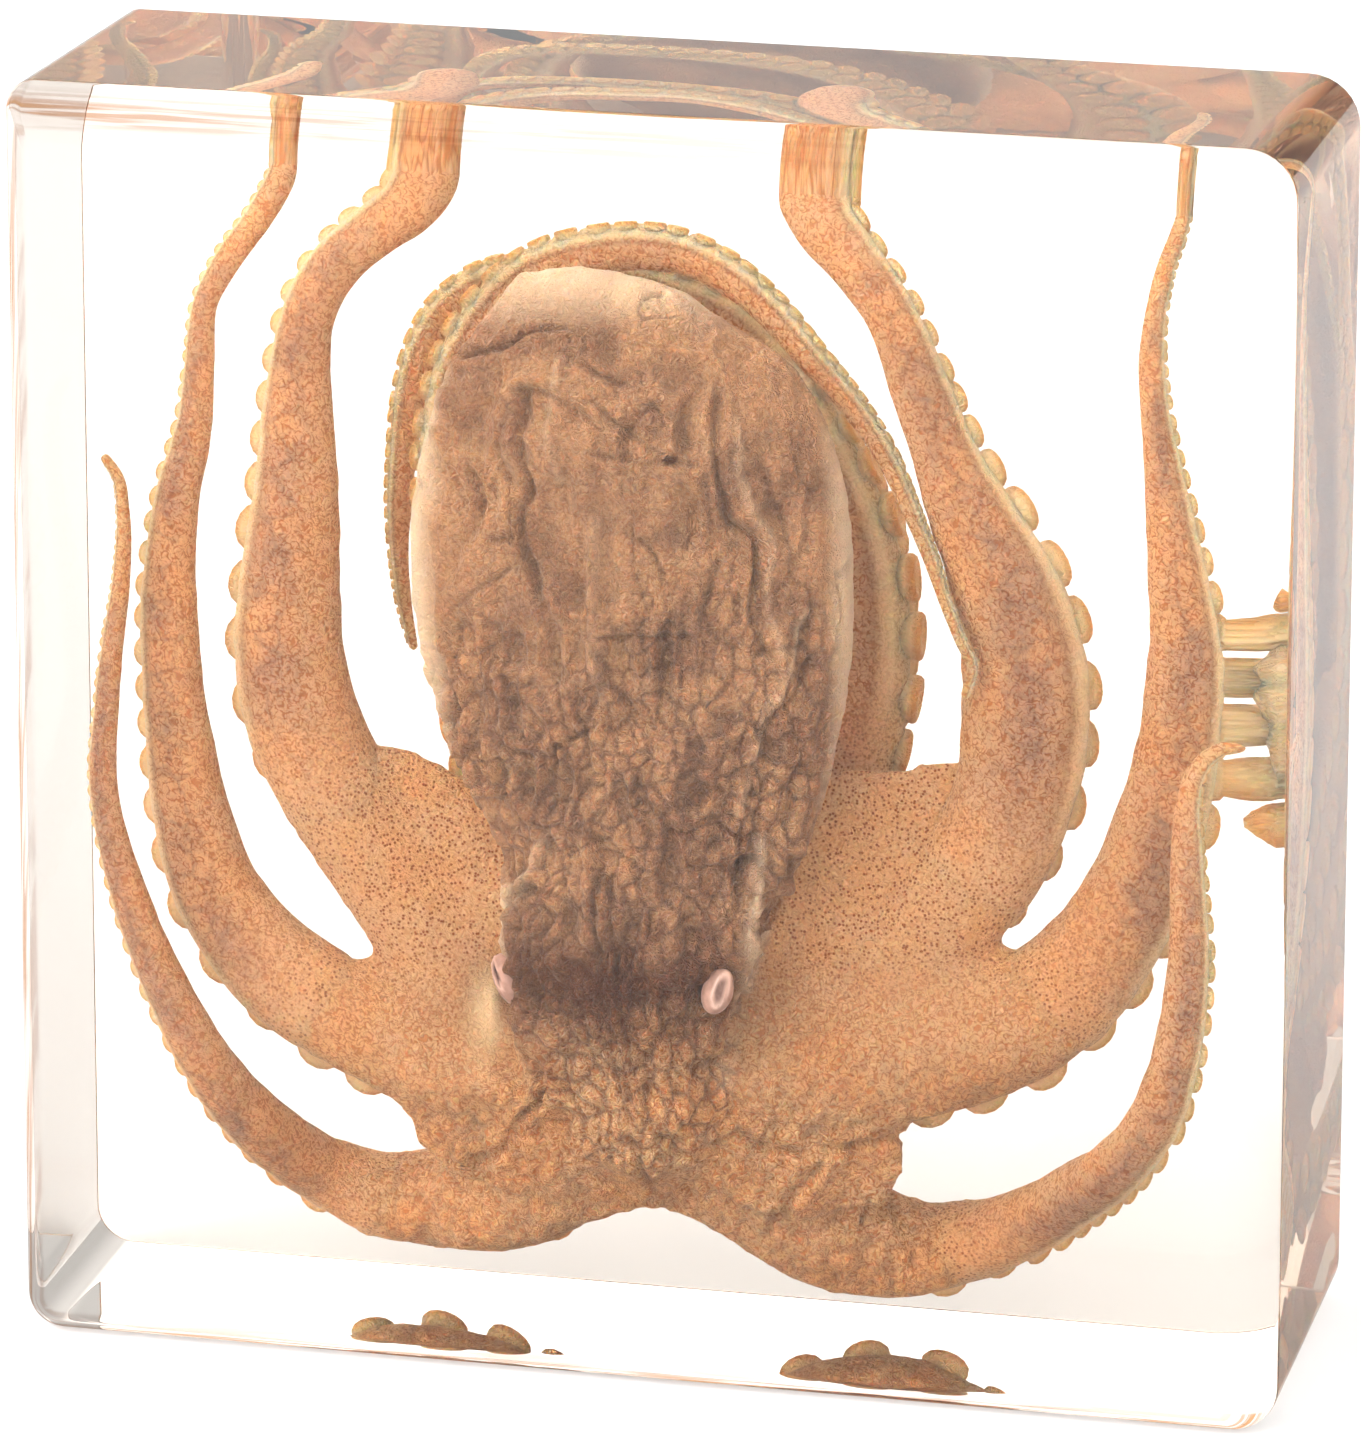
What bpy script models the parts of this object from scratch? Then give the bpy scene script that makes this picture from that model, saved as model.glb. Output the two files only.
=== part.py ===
"""An octopus cast in a block of clear resin.

The block stands on one of its narrow faces, with its front face towards -Y.
It was cast with a little draft, so its narrow faces aren't quite square to its
front: everything is modelled with the front face upright, then leaned back until
the base is level. The octopus hangs head down in it: mantle up, arms swept up
around the mantle, suckers towards the back. The resin is parted halfway through
its depth, and each half holds half of the pocket that the octopus lies in.
"""

import math
from dataclasses import dataclass

import bmesh
import bpy
from mathutils import Matrix, Vector

# The block, in metres
BLOCK_WIDTH = 0.110
BLOCK_HEIGHT = 0.1101
BLOCK_DEPTH = 0.0345
RIGHT_DRAFT = 0.0009
TOP_DRAFT = 0.0003
BASE_DRAFT = 0.0012
LEAN = math.atan(BASE_DRAFT / BLOCK_DEPTH)
EDGE_ROUNDING = 0.0014
CORNER_RADII = {
    "top_left": 0.0020,
    "top_right": 0.0045,
    "bottom_left": 0.0032,
    "bottom_right": 0.0035,
}
ROUNDING_SEGMENTS = 3
GAP = 0.0003

# The pocket that the octopus lies in: a sheath round each arm, with room for its suckers
SHEATH_ROOM = 0.0019
SHEATH_ROUNDER = 0.12
SHEATH_END = 0.0012

# The line of sight along which places in the block are read off the photograph
EYE = Vector((0.2056, -0.7966, 0.2916))
EYE_TURN = math.radians(14.52)
EYE_DIP = math.radians(16.14)
FOCAL_PIXELS = 10040.0
PHOTO_CENTRE = (680.5, 726.5)
PIXELS_PER_METRE = 11750.0
RESIN_INDEX = 1.5

# The octopus's skin
TUBE_RESOLUTION = 1
TUBE_SIDES = 4 + 2 * TUBE_RESOLUTION
BODY_VOXEL = 0.0009
BODY_SMOOTHING = 4
BODY_TRIANGLES = 1000
MANTLE_FLATNESS = 0.42
HEAD_FLATNESS = 0.58
CROWN_FLATNESS = 0.95
WEB_FLATNESS = 0.36

# The suckers, in two rows along the back of each arm; sizes are shares of the arm's radius
SUCKER_SIDES = 5
SUCKER_SPACING = 1.9
SUCKER_LEAST_SPACING = 0.0062
SUCKER_RADIUS = 0.27
SUCKER_FLARE = 1.15
SUCKER_HEIGHT = 0.0008
SUCKER_ROOT = 0.0006
THINNEST_WITH_SUCKERS = 0.0013
FIRST_SUCKERS = (0.4, 0.9)
SUCKER_ROWS = (math.radians(28.0), math.radians(88.0))

# Routes from root to tip. Each point is (across, down, depth, half width): where its middle
# appears on the photograph in pixels, its depth behind the front face in millimetres,
# and half the width seen there in pixels.
MANTLE = (
    (640, 271, 11.6, 26), (637, 279, 11.6, 62), (633, 298, 11.5, 104), (629, 335, 11.4, 145),
    (629, 390, 11.3, 183), (630, 450, 11.2, 207), (631, 520, 11.2, 219), (632, 590, 11.2, 221),
    (636, 655, 11.2, 216), (641, 715, 11.4, 203), (645, 775, 11.6, 184), (643, 830, 11.8, 160),
    (637, 880, 12.0, 138),
)
HEAD = (
    (640, 830, 12.2, 120), (636, 880, 12.0, 134), (628, 930, 11.8, 130), (622, 975, 11.8, 124),
    (622, 1020, 12.4, 112), (630, 1065, 13.2, 96), (640, 1110, 14.0, 80),
)
CROWN = (
    (630, 1010, 15.0, 70), (636, 1050, 16.0, 96), (644, 1095, 17.0, 102), (650, 1140, 18.5, 88),
    (652, 1180, 20.0, 52),
)
WEBS = (
    ((640, 1020, 18.5, 90), (560, 960, 18.5, 84), (480, 890, 18.5, 66), (430, 810, 18.5, 30)),
    ((640, 1020, 18.5, 90), (740, 970, 18.5, 92), (830, 890, 18.5, 82), (900, 810, 18.5, 50)),
    ((600, 1080, 17.0, 90), (500, 1120, 18.0, 78), (430, 1120, 18.0, 42)),
    ((690, 1090, 17.0, 90), (800, 1140, 18.0, 84), (880, 1170, 18.0, 46)),
    ((860, 1000, 18.0, 70), (930, 940, 18.0, 60)),
)


@dataclass(frozen=True)
class Arm:
    """One arm: its route, the place on it where it leaves the web, and its suckers' side.

    outward is -1 where the suckers lie to the left of an arm that goes up, and 1 to the right.
    flatness is the depth of a section as a share of its width.
    """

    fork: int
    outward: int
    flatness: float
    route: tuple


ARMS = {
    "arm_left_1": Arm(3, -1, 0.95, (
        (600, 1145, 21, 52), (520, 1178, 23.5, 54), (450, 1190, 24, 50), (385, 1192, 22.5, 40),
        (325, 1170, 20, 35), (275, 1137, 17.5, 33), (235, 1098, 16, 30), (200, 1050, 14.5, 27),
        (173, 1000, 13.5, 25), (150, 950, 12.5, 22), (128, 890, 12, 19), (111, 830, 12, 16),
        (103, 775, 12, 14), (106, 715, 12.5, 13), (112, 650, 13, 11.5), (122, 573, 13.5, 9),
        (123, 510, 14, 7), (117, 475, 14, 6), (106, 459, 14, 5),
    )),
    "arm_left_2": Arm(4, -1, 0.8, (
        (600, 1095, 17.5, 50), (520, 1085, 17.5, 56), (440, 1062, 17.5, 58), (375, 1030, 17.5, 58),
        (316, 996, 17.5, 57), (265, 955, 17.5, 53), (226, 905, 17.5, 48), (202, 850, 17, 43),
        (188, 790, 17, 39), (178, 726, 16.5, 34), (171, 650, 16, 31), (169, 573, 16, 27),
        (178, 496, 16, 23), (195, 420, 16, 18), (200, 360, 16, 15), (205, 304, 16.5, 13),
        (225, 258, 17, 13), (252, 215, 18, 12), (270, 175, 19, 11), (274, 146, 20.5, 8),
    )),
    "arm_left_3": Arm(4, -1, 0.75, (
        (570, 1040, 19, 52), (495, 995, 19, 60), (434, 932, 19, 62), (382, 862, 18.5, 60),
        (342, 792, 18, 56), (311, 722, 17.5, 53), (296, 650, 17, 49), (298, 573, 16.5, 45),
        (302, 496, 16, 40), (300, 420, 16, 35), (301, 360, 16, 31), (312, 304, 15, 27),
        (338, 262, 15, 26), (374, 230, 15, 26), (408, 203, 15.5, 26), (424, 170, 16.5, 24),
        (418, 142, 18, 18),
    )),
    "arm_left_4": Arm(2, -1, 0.72, (
        (600, 1050, 22, 50), (560, 960, 24, 46), (520, 850, 24.5, 42), (490, 740, 24.5, 38),
        (465, 620, 24.5, 35), (450, 520, 24, 32), (448, 440, 23.5, 30), (462, 365, 23, 28),
        (494, 308, 22.5, 26), (541, 268, 22, 24), (604, 250, 21.5, 23), (668, 250, 21.5, 22),
        (722, 271, 20.5, 20), (768, 308, 19.5, 18), (812, 358, 18, 16), (850, 402, 17, 14),
        (884, 452, 16, 12), (911, 510, 15, 9.5), (932, 562, 14, 8), (947, 605, 13, 7),
        (962, 642, 12.5, 6.5), (973, 668, 12.5, 6), (966, 694, 12.5, 5),
    )),
    "arm_right_4": Arm(3, 1, 0.72, (
        (650, 1060, 22, 50), (720, 960, 25, 50), (785, 860, 27, 52), (828, 765, 27.5, 52),
        (850, 680, 27.5, 50), (855, 600, 27.5, 46), (845, 520, 27.5, 41), (822, 450, 27.5, 36),
        (786, 380, 27.5, 31), (733, 322, 27.5, 28), (662, 290, 27.5, 25), (592, 276, 27.5, 23),
        (530, 274, 27.5, 21), (478, 286, 27.5, 20), (444, 312, 27.5, 19), (424, 346, 27.5, 18),
        (411, 392, 27.5, 17), (403, 449, 27.5, 15), (399, 505, 27.5, 13), (399, 555, 27.5, 10),
        (404, 602, 27.5, 8), (413, 645, 27.5, 5),
    )),
    "arm_right_3": Arm(4, 1, 0.75, (
        (690, 1045, 19, 52), (765, 1015, 19.5, 60), (842, 974, 19.5, 62), (912, 925, 19, 60),
        (970, 868, 18.5, 57), (1006, 800, 18, 54), (1023, 735, 17.5, 52), (1025, 670, 17, 51),
        (1015, 615, 16.5, 49), (993, 560, 16, 45), (969, 510, 16, 40), (946, 455, 16, 35),
        (925, 400, 16, 31), (905, 347, 15.5, 28), (883, 300, 15.5, 26), (853, 258, 16, 26),
        (828, 222, 17, 25), (820, 190, 18.5, 23), (834, 163, 20, 17),
    )),
    "arm_right_2": Arm(5, 1, 0.8, (
        (690, 1090, 17.5, 52), (770, 1085, 17.5, 60), (850, 1070, 18, 65), (928, 1052, 18.5, 67),
        (998, 1030, 18.5, 66), (1056, 996, 18.5, 61), (1102, 946, 18.5, 54), (1137, 888, 18.5, 50),
        (1160, 825, 18.5, 46), (1176, 760, 18.5, 43), (1184, 700, 18, 40), (1186, 650, 17.5, 37),
        (1182, 607, 17, 33), (1176, 560, 17, 28), (1169, 510, 17, 23), (1162, 460, 17, 18),
        (1155, 410, 17, 15), (1152, 357, 17, 12.5), (1156, 312, 17, 10.5), (1166, 268, 17.5, 9),
        (1178, 235, 18, 8), (1186, 205, 18.5, 7), (1186, 180, 19, 6),
    )),
    "arm_right_1": Arm(4, 1, 0.95, (
        (680, 1148, 21, 54), (760, 1184, 23.5, 58), (840, 1216, 24.5, 58), (908, 1238, 23.5, 49),
        (972, 1237, 21, 40), (1030, 1219, 18, 33), (1076, 1194, 15, 31), (1118, 1165, 12, 29),
        (1150, 1128, 10, 27), (1172, 1072, 9, 25), (1184, 1010, 9, 23), (1189, 950, 9, 21),
        (1188, 895, 9, 18), (1187, 845, 9.5, 15), (1188, 803, 10, 12), (1195, 775, 10.5, 10),
        (1208, 757, 11, 8), (1224, 748, 12, 6.5),
    )),
}


def make_material(name, colour, roughness, clear=False):
    """A Principled material, see-through where it is clear resin."""
    material = bpy.data.materials.new(name)
    material.use_nodes = True
    shader = material.node_tree.nodes["Principled BSDF"]
    shader.inputs["Base Color"].default_value = (*colour, 1.0)
    shader.inputs["Roughness"].default_value = roughness
    shader.inputs["Metallic"].default_value = 0.0
    if clear:
        shader.inputs["Transmission Weight"].default_value = 1.0
        shader.inputs["IOR"].default_value = RESIN_INDEX
    return material


def make_collection(name):
    """A new collection in the scene."""
    collection = bpy.data.collections.new(name)
    bpy.context.scene.collection.children.link(collection)
    return collection


def clear_scene():
    """Takes out whatever the scene holds."""
    for thing in list(bpy.data.objects):
        bpy.data.objects.remove(thing, do_unlink=True)


def make_stand(collection):
    """The empty that carries every piece: it leans them back until the base is level at z = 0.

    It also brings the middle of the leaned block's width and depth over the origin.
    """
    stand = bpy.data.objects.new("standing", None)
    collection.objects.link(stand)
    stand.rotation_euler.x = -LEAN
    lean = Matrix.Rotation(-LEAN, 3, "X")
    foot = lean @ Vector((0.0, -BLOCK_DEPTH / 2, 0.0))
    top = lean @ Vector((0.0, BLOCK_DEPTH / 2, BLOCK_HEIGHT - TOP_DRAFT))
    widest = RIGHT_DRAFT * EDGE_ROUNDING / BLOCK_DEPTH
    stand.location = (widest / 2, -(foot.y + top.y) / 2, -foot.z)
    return stand


def sight_direction(across, down):
    """The direction from the eye to a pixel of the photograph."""
    ahead = Vector((
        -math.sin(EYE_TURN) * math.cos(EYE_DIP),
        math.cos(EYE_TURN) * math.cos(EYE_DIP),
        -math.sin(EYE_DIP),
    ))
    right = Vector((math.cos(EYE_TURN), math.sin(EYE_TURN), 0.0))
    up = right.cross(ahead)
    sideways = right * (across - PHOTO_CENTRE[0]) / FOCAL_PIXELS
    upwards = up * (PHOTO_CENTRE[1] - down) / FOCAL_PIXELS
    return (ahead + sideways + upwards).normalized()


def place(across, down, depth_mm):
    """The point in the resin that shows at a pixel, at a depth behind the front face."""
    ray = sight_direction(across, down)
    front = -BLOCK_DEPTH / 2
    on_face = EYE + ray * ((front - EYE.y) / ray.y)
    bent = Vector((ray.x / RESIN_INDEX, 0.0, ray.z / RESIN_INDEX))
    bent.y = math.sqrt(1.0 - bent.length_squared)
    return on_face + bent * (depth_mm / 1000 / bent.y)


def stations(route):
    """A route's points in the block, each with its radius."""
    return [(place(across, down, depth), half / PIXELS_PER_METRE) for across, down, depth, half in route]


def mesh_object(name, mesh, collection, material=None):
    """An object for a mesh that is already in its place."""
    thing = bpy.data.objects.new(name, mesh)
    collection.objects.link(thing)
    if material:
        mesh.materials.clear()
        mesh.materials.append(material)
    return thing


def evaluated_mesh(thing):
    """The mesh that an object has with its modifiers or its bevel."""
    bpy.context.view_layer.update()
    graph = bpy.context.evaluated_depsgraph_get()
    return bpy.data.meshes.new_from_object(thing.evaluated_get(graph))


def tube(name, points, flatness, collection):
    """A tapering tube along points, its sections flattened from front to back."""
    curve = bpy.data.curves.new(name, "CURVE")
    curve.dimensions = "3D"
    curve.bevel_depth = 1.0
    curve.bevel_resolution = TUBE_RESOLUTION
    curve.use_fill_caps = True
    spline = curve.splines.new("POLY")
    spline.points.add(len(points) - 1)
    for point, (centre, radius) in zip(spline.points, points):
        point.co = (centre.x, centre.y / flatness, centre.z, 1.0)
        point.radius = radius
    guide = bpy.data.objects.new(name, curve)
    collection.objects.link(guide)
    mesh = evaluated_mesh(guide)
    mesh.transform(Matrix.Diagonal((1.0, flatness, 1.0, 1.0)))
    bpy.data.objects.remove(guide)
    work = bmesh.new()
    work.from_mesh(mesh)
    bmesh.ops.remove_doubles(work, verts=work.verts, dist=1e-7)
    bmesh.ops.recalc_face_normals(work, faces=work.faces)
    work.to_mesh(mesh)
    work.free()
    return mesh


def joined(meshes, name):
    """One mesh that holds several."""
    work = bmesh.new()
    for mesh in meshes:
        work.from_mesh(mesh)
    result = bpy.data.meshes.new(name)
    work.to_mesh(result)
    work.free()
    return result


def apply_modifiers(thing):
    """Keeps the shape that an object's modifiers give it, and drops them."""
    shaped = evaluated_mesh(thing)
    thing.modifiers.clear()
    thing.data = shaped


def add_boolean(thing, operation, other):
    """A Boolean of a thing with a helper."""
    modifier = thing.modifiers.new(f"{operation.lower()} {other.name}", "BOOLEAN")
    modifier.operation = operation
    modifier.solver = "EXACT"
    modifier.object = other


def one_skin(thing, voxel, smoothing):
    """Grows one even skin over everything in an object's mesh, and softens it."""
    remesh = thing.modifiers.new("one skin", "REMESH")
    remesh.mode = "VOXEL"
    remesh.voxel_size = voxel
    smooth = thing.modifiers.new("soften", "SMOOTH")
    smooth.factor = 0.5
    smooth.iterations = smoothing
    apply_modifiers(thing)


def fewer_faces(thing, triangles):
    """Brings an object's mesh down to about a number of triangles."""
    thing.data.calc_loop_triangles()
    fewer = thing.modifiers.new("fewer faces", "DECIMATE")
    fewer.ratio = triangles / len(thing.data.loop_triangles)
    apply_modifiers(thing)


def as_helper(thing):
    """Marks a cutter, which isn't part of the object."""
    thing.hide_render = True
    thing.display_type = "WIRE"
    return thing


def box(name, low, high, collection):
    """A box between two corners."""
    mesh = bpy.data.meshes.new(name)
    work = bmesh.new()
    size = Vector(high) - Vector(low)
    middle = (Vector(high) + Vector(low)) / 2
    bmesh.ops.create_cube(work, size=1.0, matrix=Matrix.Translation(middle) @ Matrix.Diagonal((*size, 1.0)))
    work.to_mesh(mesh)
    work.free()
    return mesh_object(name, mesh, collection)


def corner_of(edge):
    """The name of the corner that an edge along Y stands at, or None."""
    first, second = (vert.co for vert in edge.verts)
    if abs(first.y - second.y) < BLOCK_DEPTH / 2:
        return None
    upright = "top" if first.z > BLOCK_HEIGHT / 2 else "bottom"
    return f"{upright}_{'right' if first.x > 0 else 'left'}"


def on_one_face(edge):
    """Whether an edge lies in the front or the back face."""
    first, second = (vert.co.y for vert in edge.verts)
    return abs(first - second) < 1e-6 and abs(abs(first) - BLOCK_DEPTH / 2) < 1e-6


def whole_block():
    """The block before it is parted: drafted sides, rounded corners, and a small rounding round both faces."""
    work = bmesh.new()
    size = Matrix.Diagonal((BLOCK_WIDTH, BLOCK_DEPTH, BLOCK_HEIGHT, 1.0))
    lifted = Matrix.Translation((0.0, 0.0, BLOCK_HEIGHT / 2))
    bmesh.ops.create_cube(work, size=1.0, matrix=lifted @ size)
    for vert in work.verts:
        if vert.co.y > 0:
            vert.co.x -= RIGHT_DRAFT if vert.co.x > 0 else 0.0
            vert.co.z += BASE_DRAFT if vert.co.z < BLOCK_HEIGHT / 2 else -TOP_DRAFT
    for corner, radius in CORNER_RADII.items():
        edges = [edge for edge in work.edges if corner_of(edge) == corner]
        bmesh.ops.bevel(work, geom=edges, offset=radius, segments=ROUNDING_SEGMENTS, profile=0.5, affect="EDGES")
    rims = [edge for edge in work.edges if on_one_face(edge)]
    bmesh.ops.bevel(work, geom=rims, offset=EDGE_ROUNDING, segments=ROUNDING_SEGMENTS, profile=0.5, affect="EDGES")
    mesh = bpy.data.meshes.new("block")
    work.to_mesh(mesh)
    work.free()
    return mesh


def sucker_places(route, arm):
    """Where an arm's suckers sit: for each, a point on its skin, the way it faces and its radius."""
    found = []
    travelled = 0.0
    due = list(FIRST_SUCKERS)
    for (start, first), (end, second) in zip(route, route[1:]):
        if min(first, second) < THINNEST_WITH_SUCKERS:
            break
        span = end - start
        side = Vector((span.z, 0.0, -span.x)).normalized() * arm.outward
        step = max(SUCKER_SPACING * (first + second) / 2, SUCKER_LEAST_SPACING)
        steps = span.length / step
        for row, angle in enumerate(SUCKER_ROWS):
            while due[row] < travelled + steps:
                share = (due[row] - travelled) / steps
                radius = first + (second - first) * share
                across = side * math.cos(angle)
                back = Vector((0.0, math.sin(angle), 0.0))
                point = start + span * share + (across + back * arm.flatness) * radius
                found.append((point, (across + back / arm.flatness).normalized(), radius * SUCKER_RADIUS))
                due[row] += 1.0
        travelled += steps
    return found


def suckers(name, route, arm, collection):
    """All suckers of one arm: short cups, wider at the rim."""
    work = bmesh.new()
    height = SUCKER_HEIGHT + SUCKER_ROOT
    for point, axis, radius in sucker_places(route, arm):
        middle = point + axis * (height / 2 - SUCKER_ROOT)
        turn = Vector((0.0, 0.0, 1.0)).rotation_difference(axis).to_matrix().to_4x4()
        bmesh.ops.create_cone(
            work, cap_ends=True, segments=SUCKER_SIDES, radius1=radius, radius2=radius * SUCKER_FLARE,
            depth=height, matrix=Matrix.Translation(middle) @ turn,
        )
    mesh = bpy.data.meshes.new(f"{name}_suckers")
    work.to_mesh(mesh)
    work.free()
    return as_helper(mesh_object(f"{name}_suckers", mesh, collection))


def make_body(routes, collection, helpers, material):
    """The mantle, head, crown and web with the roots of all arms, grown together as one skin."""
    shapes = [(MANTLE, MANTLE_FLATNESS), (HEAD, HEAD_FLATNESS), (CROWN, CROWN_FLATNESS)]
    shapes += [(web, WEB_FLATNESS) for web in WEBS]
    meshes = [tube("body", stations(route), flatness, helpers) for route, flatness in shapes]
    for name, arm in ARMS.items():
        meshes.append(tube("root", routes[name][: arm.fork + 1], arm.flatness, helpers))
    body = mesh_object("mantle_head_and_web", joined(meshes, "body"), collection)
    one_skin(body, BODY_VOXEL, BODY_SMOOTHING)
    fewer_faces(body, BODY_TRIANGLES)
    body.data.materials.append(material)
    return body


def grown(name, thing, distance, collection):
    """A helper of a thing's shape with its skin moved outwards."""
    copy = mesh_object(name, thing.data.copy(), collection)
    wider = copy.modifiers.new("outwards", "DISPLACE")
    wider.strength = distance
    wider.mid_level = 0.0
    apply_modifiers(copy)
    return as_helper(copy)


def make_arm(name, arm, route, body_room, collection, helpers, material):
    """One arm from where it leaves the web to its tip, with its suckers grown on, clear of the body."""
    (start, first), (following, second) = route[arm.fork : arm.fork + 2]
    along = following - start
    share = GAP * 1.6 / along.length
    free = [(start + along * share, first + (second - first) * share)] + route[arm.fork + 1 :]
    piece = mesh_object(name, tube(name, free, arm.flatness, helpers), collection, material)
    add_boolean(piece, "UNION", suckers(name, free, arm, helpers))
    add_boolean(piece, "DIFFERENCE", body_room)
    return piece


def make_sheath(name, arm, route, helpers):
    """The pocket round one arm: a plain tube that clears its suckers and reaches past both its ends."""
    widen = 1.0 / math.cos(math.pi / TUBE_SIDES)
    points = [(centre, (radius + SHEATH_ROOM) * widen) for centre, radius in route[arm.fork :]]
    (root, first), (after, _) = points[:2]
    (before, _), (tip, last) = points[-2:]
    start = (root - (after - root).normalized() * SHEATH_END, first)
    end = (tip + (tip - before).normalized() * SHEATH_END, last)
    points = [start, *points[2:-1:2], end]
    flatness = min(arm.flatness + SHEATH_ROUNDER, 1.0)
    mesh = tube(f"{name}_sheath", points, flatness, helpers)
    return as_helper(mesh_object(f"{name}_sheath", mesh, helpers))


def make_half(name, side, pockets, collection, helpers, material):
    """One half of the resin: side is -1 for the front and 1 for the back."""
    half = mesh_object(name, whole_block(), collection, material)
    low_y, high_y = sorted((side * GAP / 2, -side * BLOCK_DEPTH))
    low = (-BLOCK_WIDTH, low_y, -BLOCK_HEIGHT)
    high = (BLOCK_WIDTH, high_y, 2 * BLOCK_HEIGHT)
    add_boolean(half, "DIFFERENCE", as_helper(box(f"{name}_cut", low, high, helpers)))
    for pocket in pockets:
        add_boolean(half, "DIFFERENCE", pocket)
    return half


def main():
    """Builds the octopus, then the resin round it, and stands them up."""
    clear_scene()
    parts = make_collection("octopus_in_resin_block")
    helpers = make_collection("cutters")
    flesh = make_material("octopus_flesh", (0.56, 0.34, 0.17), 0.55)
    skin = make_material("octopus_skin", (0.42, 0.28, 0.17), 0.5)
    resin = make_material("clear_resin", (1.0, 0.99, 0.97), 0.02, clear=True)
    routes = {name: stations(arm.route) for name, arm in ARMS.items()}
    body = make_body(routes, parts, helpers, skin)
    body_room = grown("body_room", body, GAP, helpers)
    pockets = [body_room]
    for name, arm in ARMS.items():
        make_arm(name, arm, routes[name], body_room, parts, helpers, flesh)
        pockets.append(make_sheath(name, arm, routes[name], helpers))
    make_half("resin_front_half", -1, pockets, parts, helpers, resin)
    make_half("resin_back_half", 1, pockets, parts, helpers, resin)
    stand = make_stand(helpers)
    for thing in [*parts.objects, *helpers.objects]:
        if thing is not stand:
            thing.parent = stand


main()
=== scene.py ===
"""The looks of an octopus cast in a block of clear resin.

Everything is shaped in the frame of the block's front face, upright, and then leaned
back with the block onto its base. The octopus hangs head down: its mantle is up and
its arms are swept up round it, with their suckers outwards and back.
"""

import logging
import math
from collections.abc import Callable
from dataclasses import dataclass, field
from enum import Enum

import bmesh
import bpy
import numpy as np
from mathutils import Matrix, Vector

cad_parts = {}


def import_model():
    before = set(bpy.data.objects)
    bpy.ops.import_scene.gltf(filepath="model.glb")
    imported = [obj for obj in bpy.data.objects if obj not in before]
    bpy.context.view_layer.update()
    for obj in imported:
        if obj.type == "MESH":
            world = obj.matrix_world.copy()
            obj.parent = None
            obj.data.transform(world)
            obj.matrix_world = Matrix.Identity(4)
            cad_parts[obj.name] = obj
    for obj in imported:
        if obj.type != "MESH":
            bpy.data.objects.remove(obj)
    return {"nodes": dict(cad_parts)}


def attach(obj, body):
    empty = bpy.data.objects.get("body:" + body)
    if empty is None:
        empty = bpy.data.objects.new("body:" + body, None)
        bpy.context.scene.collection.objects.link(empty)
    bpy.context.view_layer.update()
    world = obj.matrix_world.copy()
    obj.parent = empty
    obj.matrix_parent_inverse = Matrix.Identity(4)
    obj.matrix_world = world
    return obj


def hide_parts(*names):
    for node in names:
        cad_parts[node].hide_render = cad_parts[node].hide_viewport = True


LOG = logging.getLogger("octopus_in_resin")
MILLIMETRE = 0.001
PIXELS_PER_METRE = 11750.0
RESIN_INDEX = 1.5

Colour = tuple[float, float, float, float]
Route = tuple[tuple[float, float, float, float], ...]
Line = tuple[tuple[float, float], ...]
Size = float | tuple[float, float, float]
Sockets = dict[str, bpy.types.NodeSocket]

WHITE: Colour = (1.0, 1.0, 1.0, 1.0)


class Slot(Enum):
    """The record's material slots."""

    RESIN = "clear_resin"
    SKIN = "octopus_skin"
    ARM = "octopus_arm"


class Mark(Enum):
    """Values kept on a mesh's points, which the skins' colours are laid out by."""

    MANTLE = "mantle"
    # Painted light: painted glow and highlights on the skin, a painted highlight on the eyes' lids and a
    # painted reflection in the resin's rims.
    PAINTED_LIGHT = "rim"
    STRIPE = "stripe"
    # Painted shade in the skin's creases, pits and slits, and the eyes' own dark slits.
    CREASE = "crease"
    EYE_PATCH = "eye_patch"
    # The arms' own pale band on their sucker side, and a painted highlight down the head's left side.
    PALE_BAND_AND_HIGHLIGHT = "pale"
    NET = "net"
    PORES = "pores"
    SUCKER = "sucker"
    LIP = "lip"


def linear(red: int, green: int, blue: int) -> Colour:
    """Turns a colour in eight-bit display values into a shader's linear values.

    Args:
        red: The red value, 0 to 255.
        green: The green value.
        blue: The blue value.

    Returns:
        The linear colour with an alpha of 1.
    """
    return (*(((value / 255 + 0.055) / 1.055) ** 2.4 for value in (red, green, blue)), 1.0)


def ease(share: np.ndarray) -> np.ndarray:
    """Shares from 0 to 1, made to start and end gently."""
    return share * share * (3.0 - 2.0 * share)


def smooth_step(values: np.ndarray, low: float, high: float) -> np.ndarray:
    """Rises smoothly from 0 at low to 1 at high, which may be under low."""
    return ease(np.clip((values - low) / (high - low), 0.0, 1.0))


def bell(values: np.ndarray, middle: float = 0.0, half: float = 1.0) -> np.ndarray:
    """A smooth hump that is 1 at middle and about a third at the distance half from it."""
    return np.exp(-(((values - middle) / half) ** 2))


def unit_rows(rows: np.ndarray) -> np.ndarray:
    """Rows scaled to a length of 1."""
    return rows / np.linalg.norm(rows, axis=1, keepdims=True)


def round_angles(count: int) -> np.ndarray:
    """Evenly spaced angles, all the way round."""
    return np.linspace(0.0, 2 * math.pi, count, endpoint=False)


def angle_off(angles: np.ndarray, middle: float) -> np.ndarray:
    """How far angles are from one of them, the shorter way round."""
    return np.abs((angles - middle + math.pi) % (2 * math.pi) - math.pi)


def spot_distance(places: np.ndarray, middle: Size, half: Size) -> np.ndarray:
    """How far places on the photograph are from a spot's middle, in its half widths."""
    return np.hypot(*((places - middle) / half).T)


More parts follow.
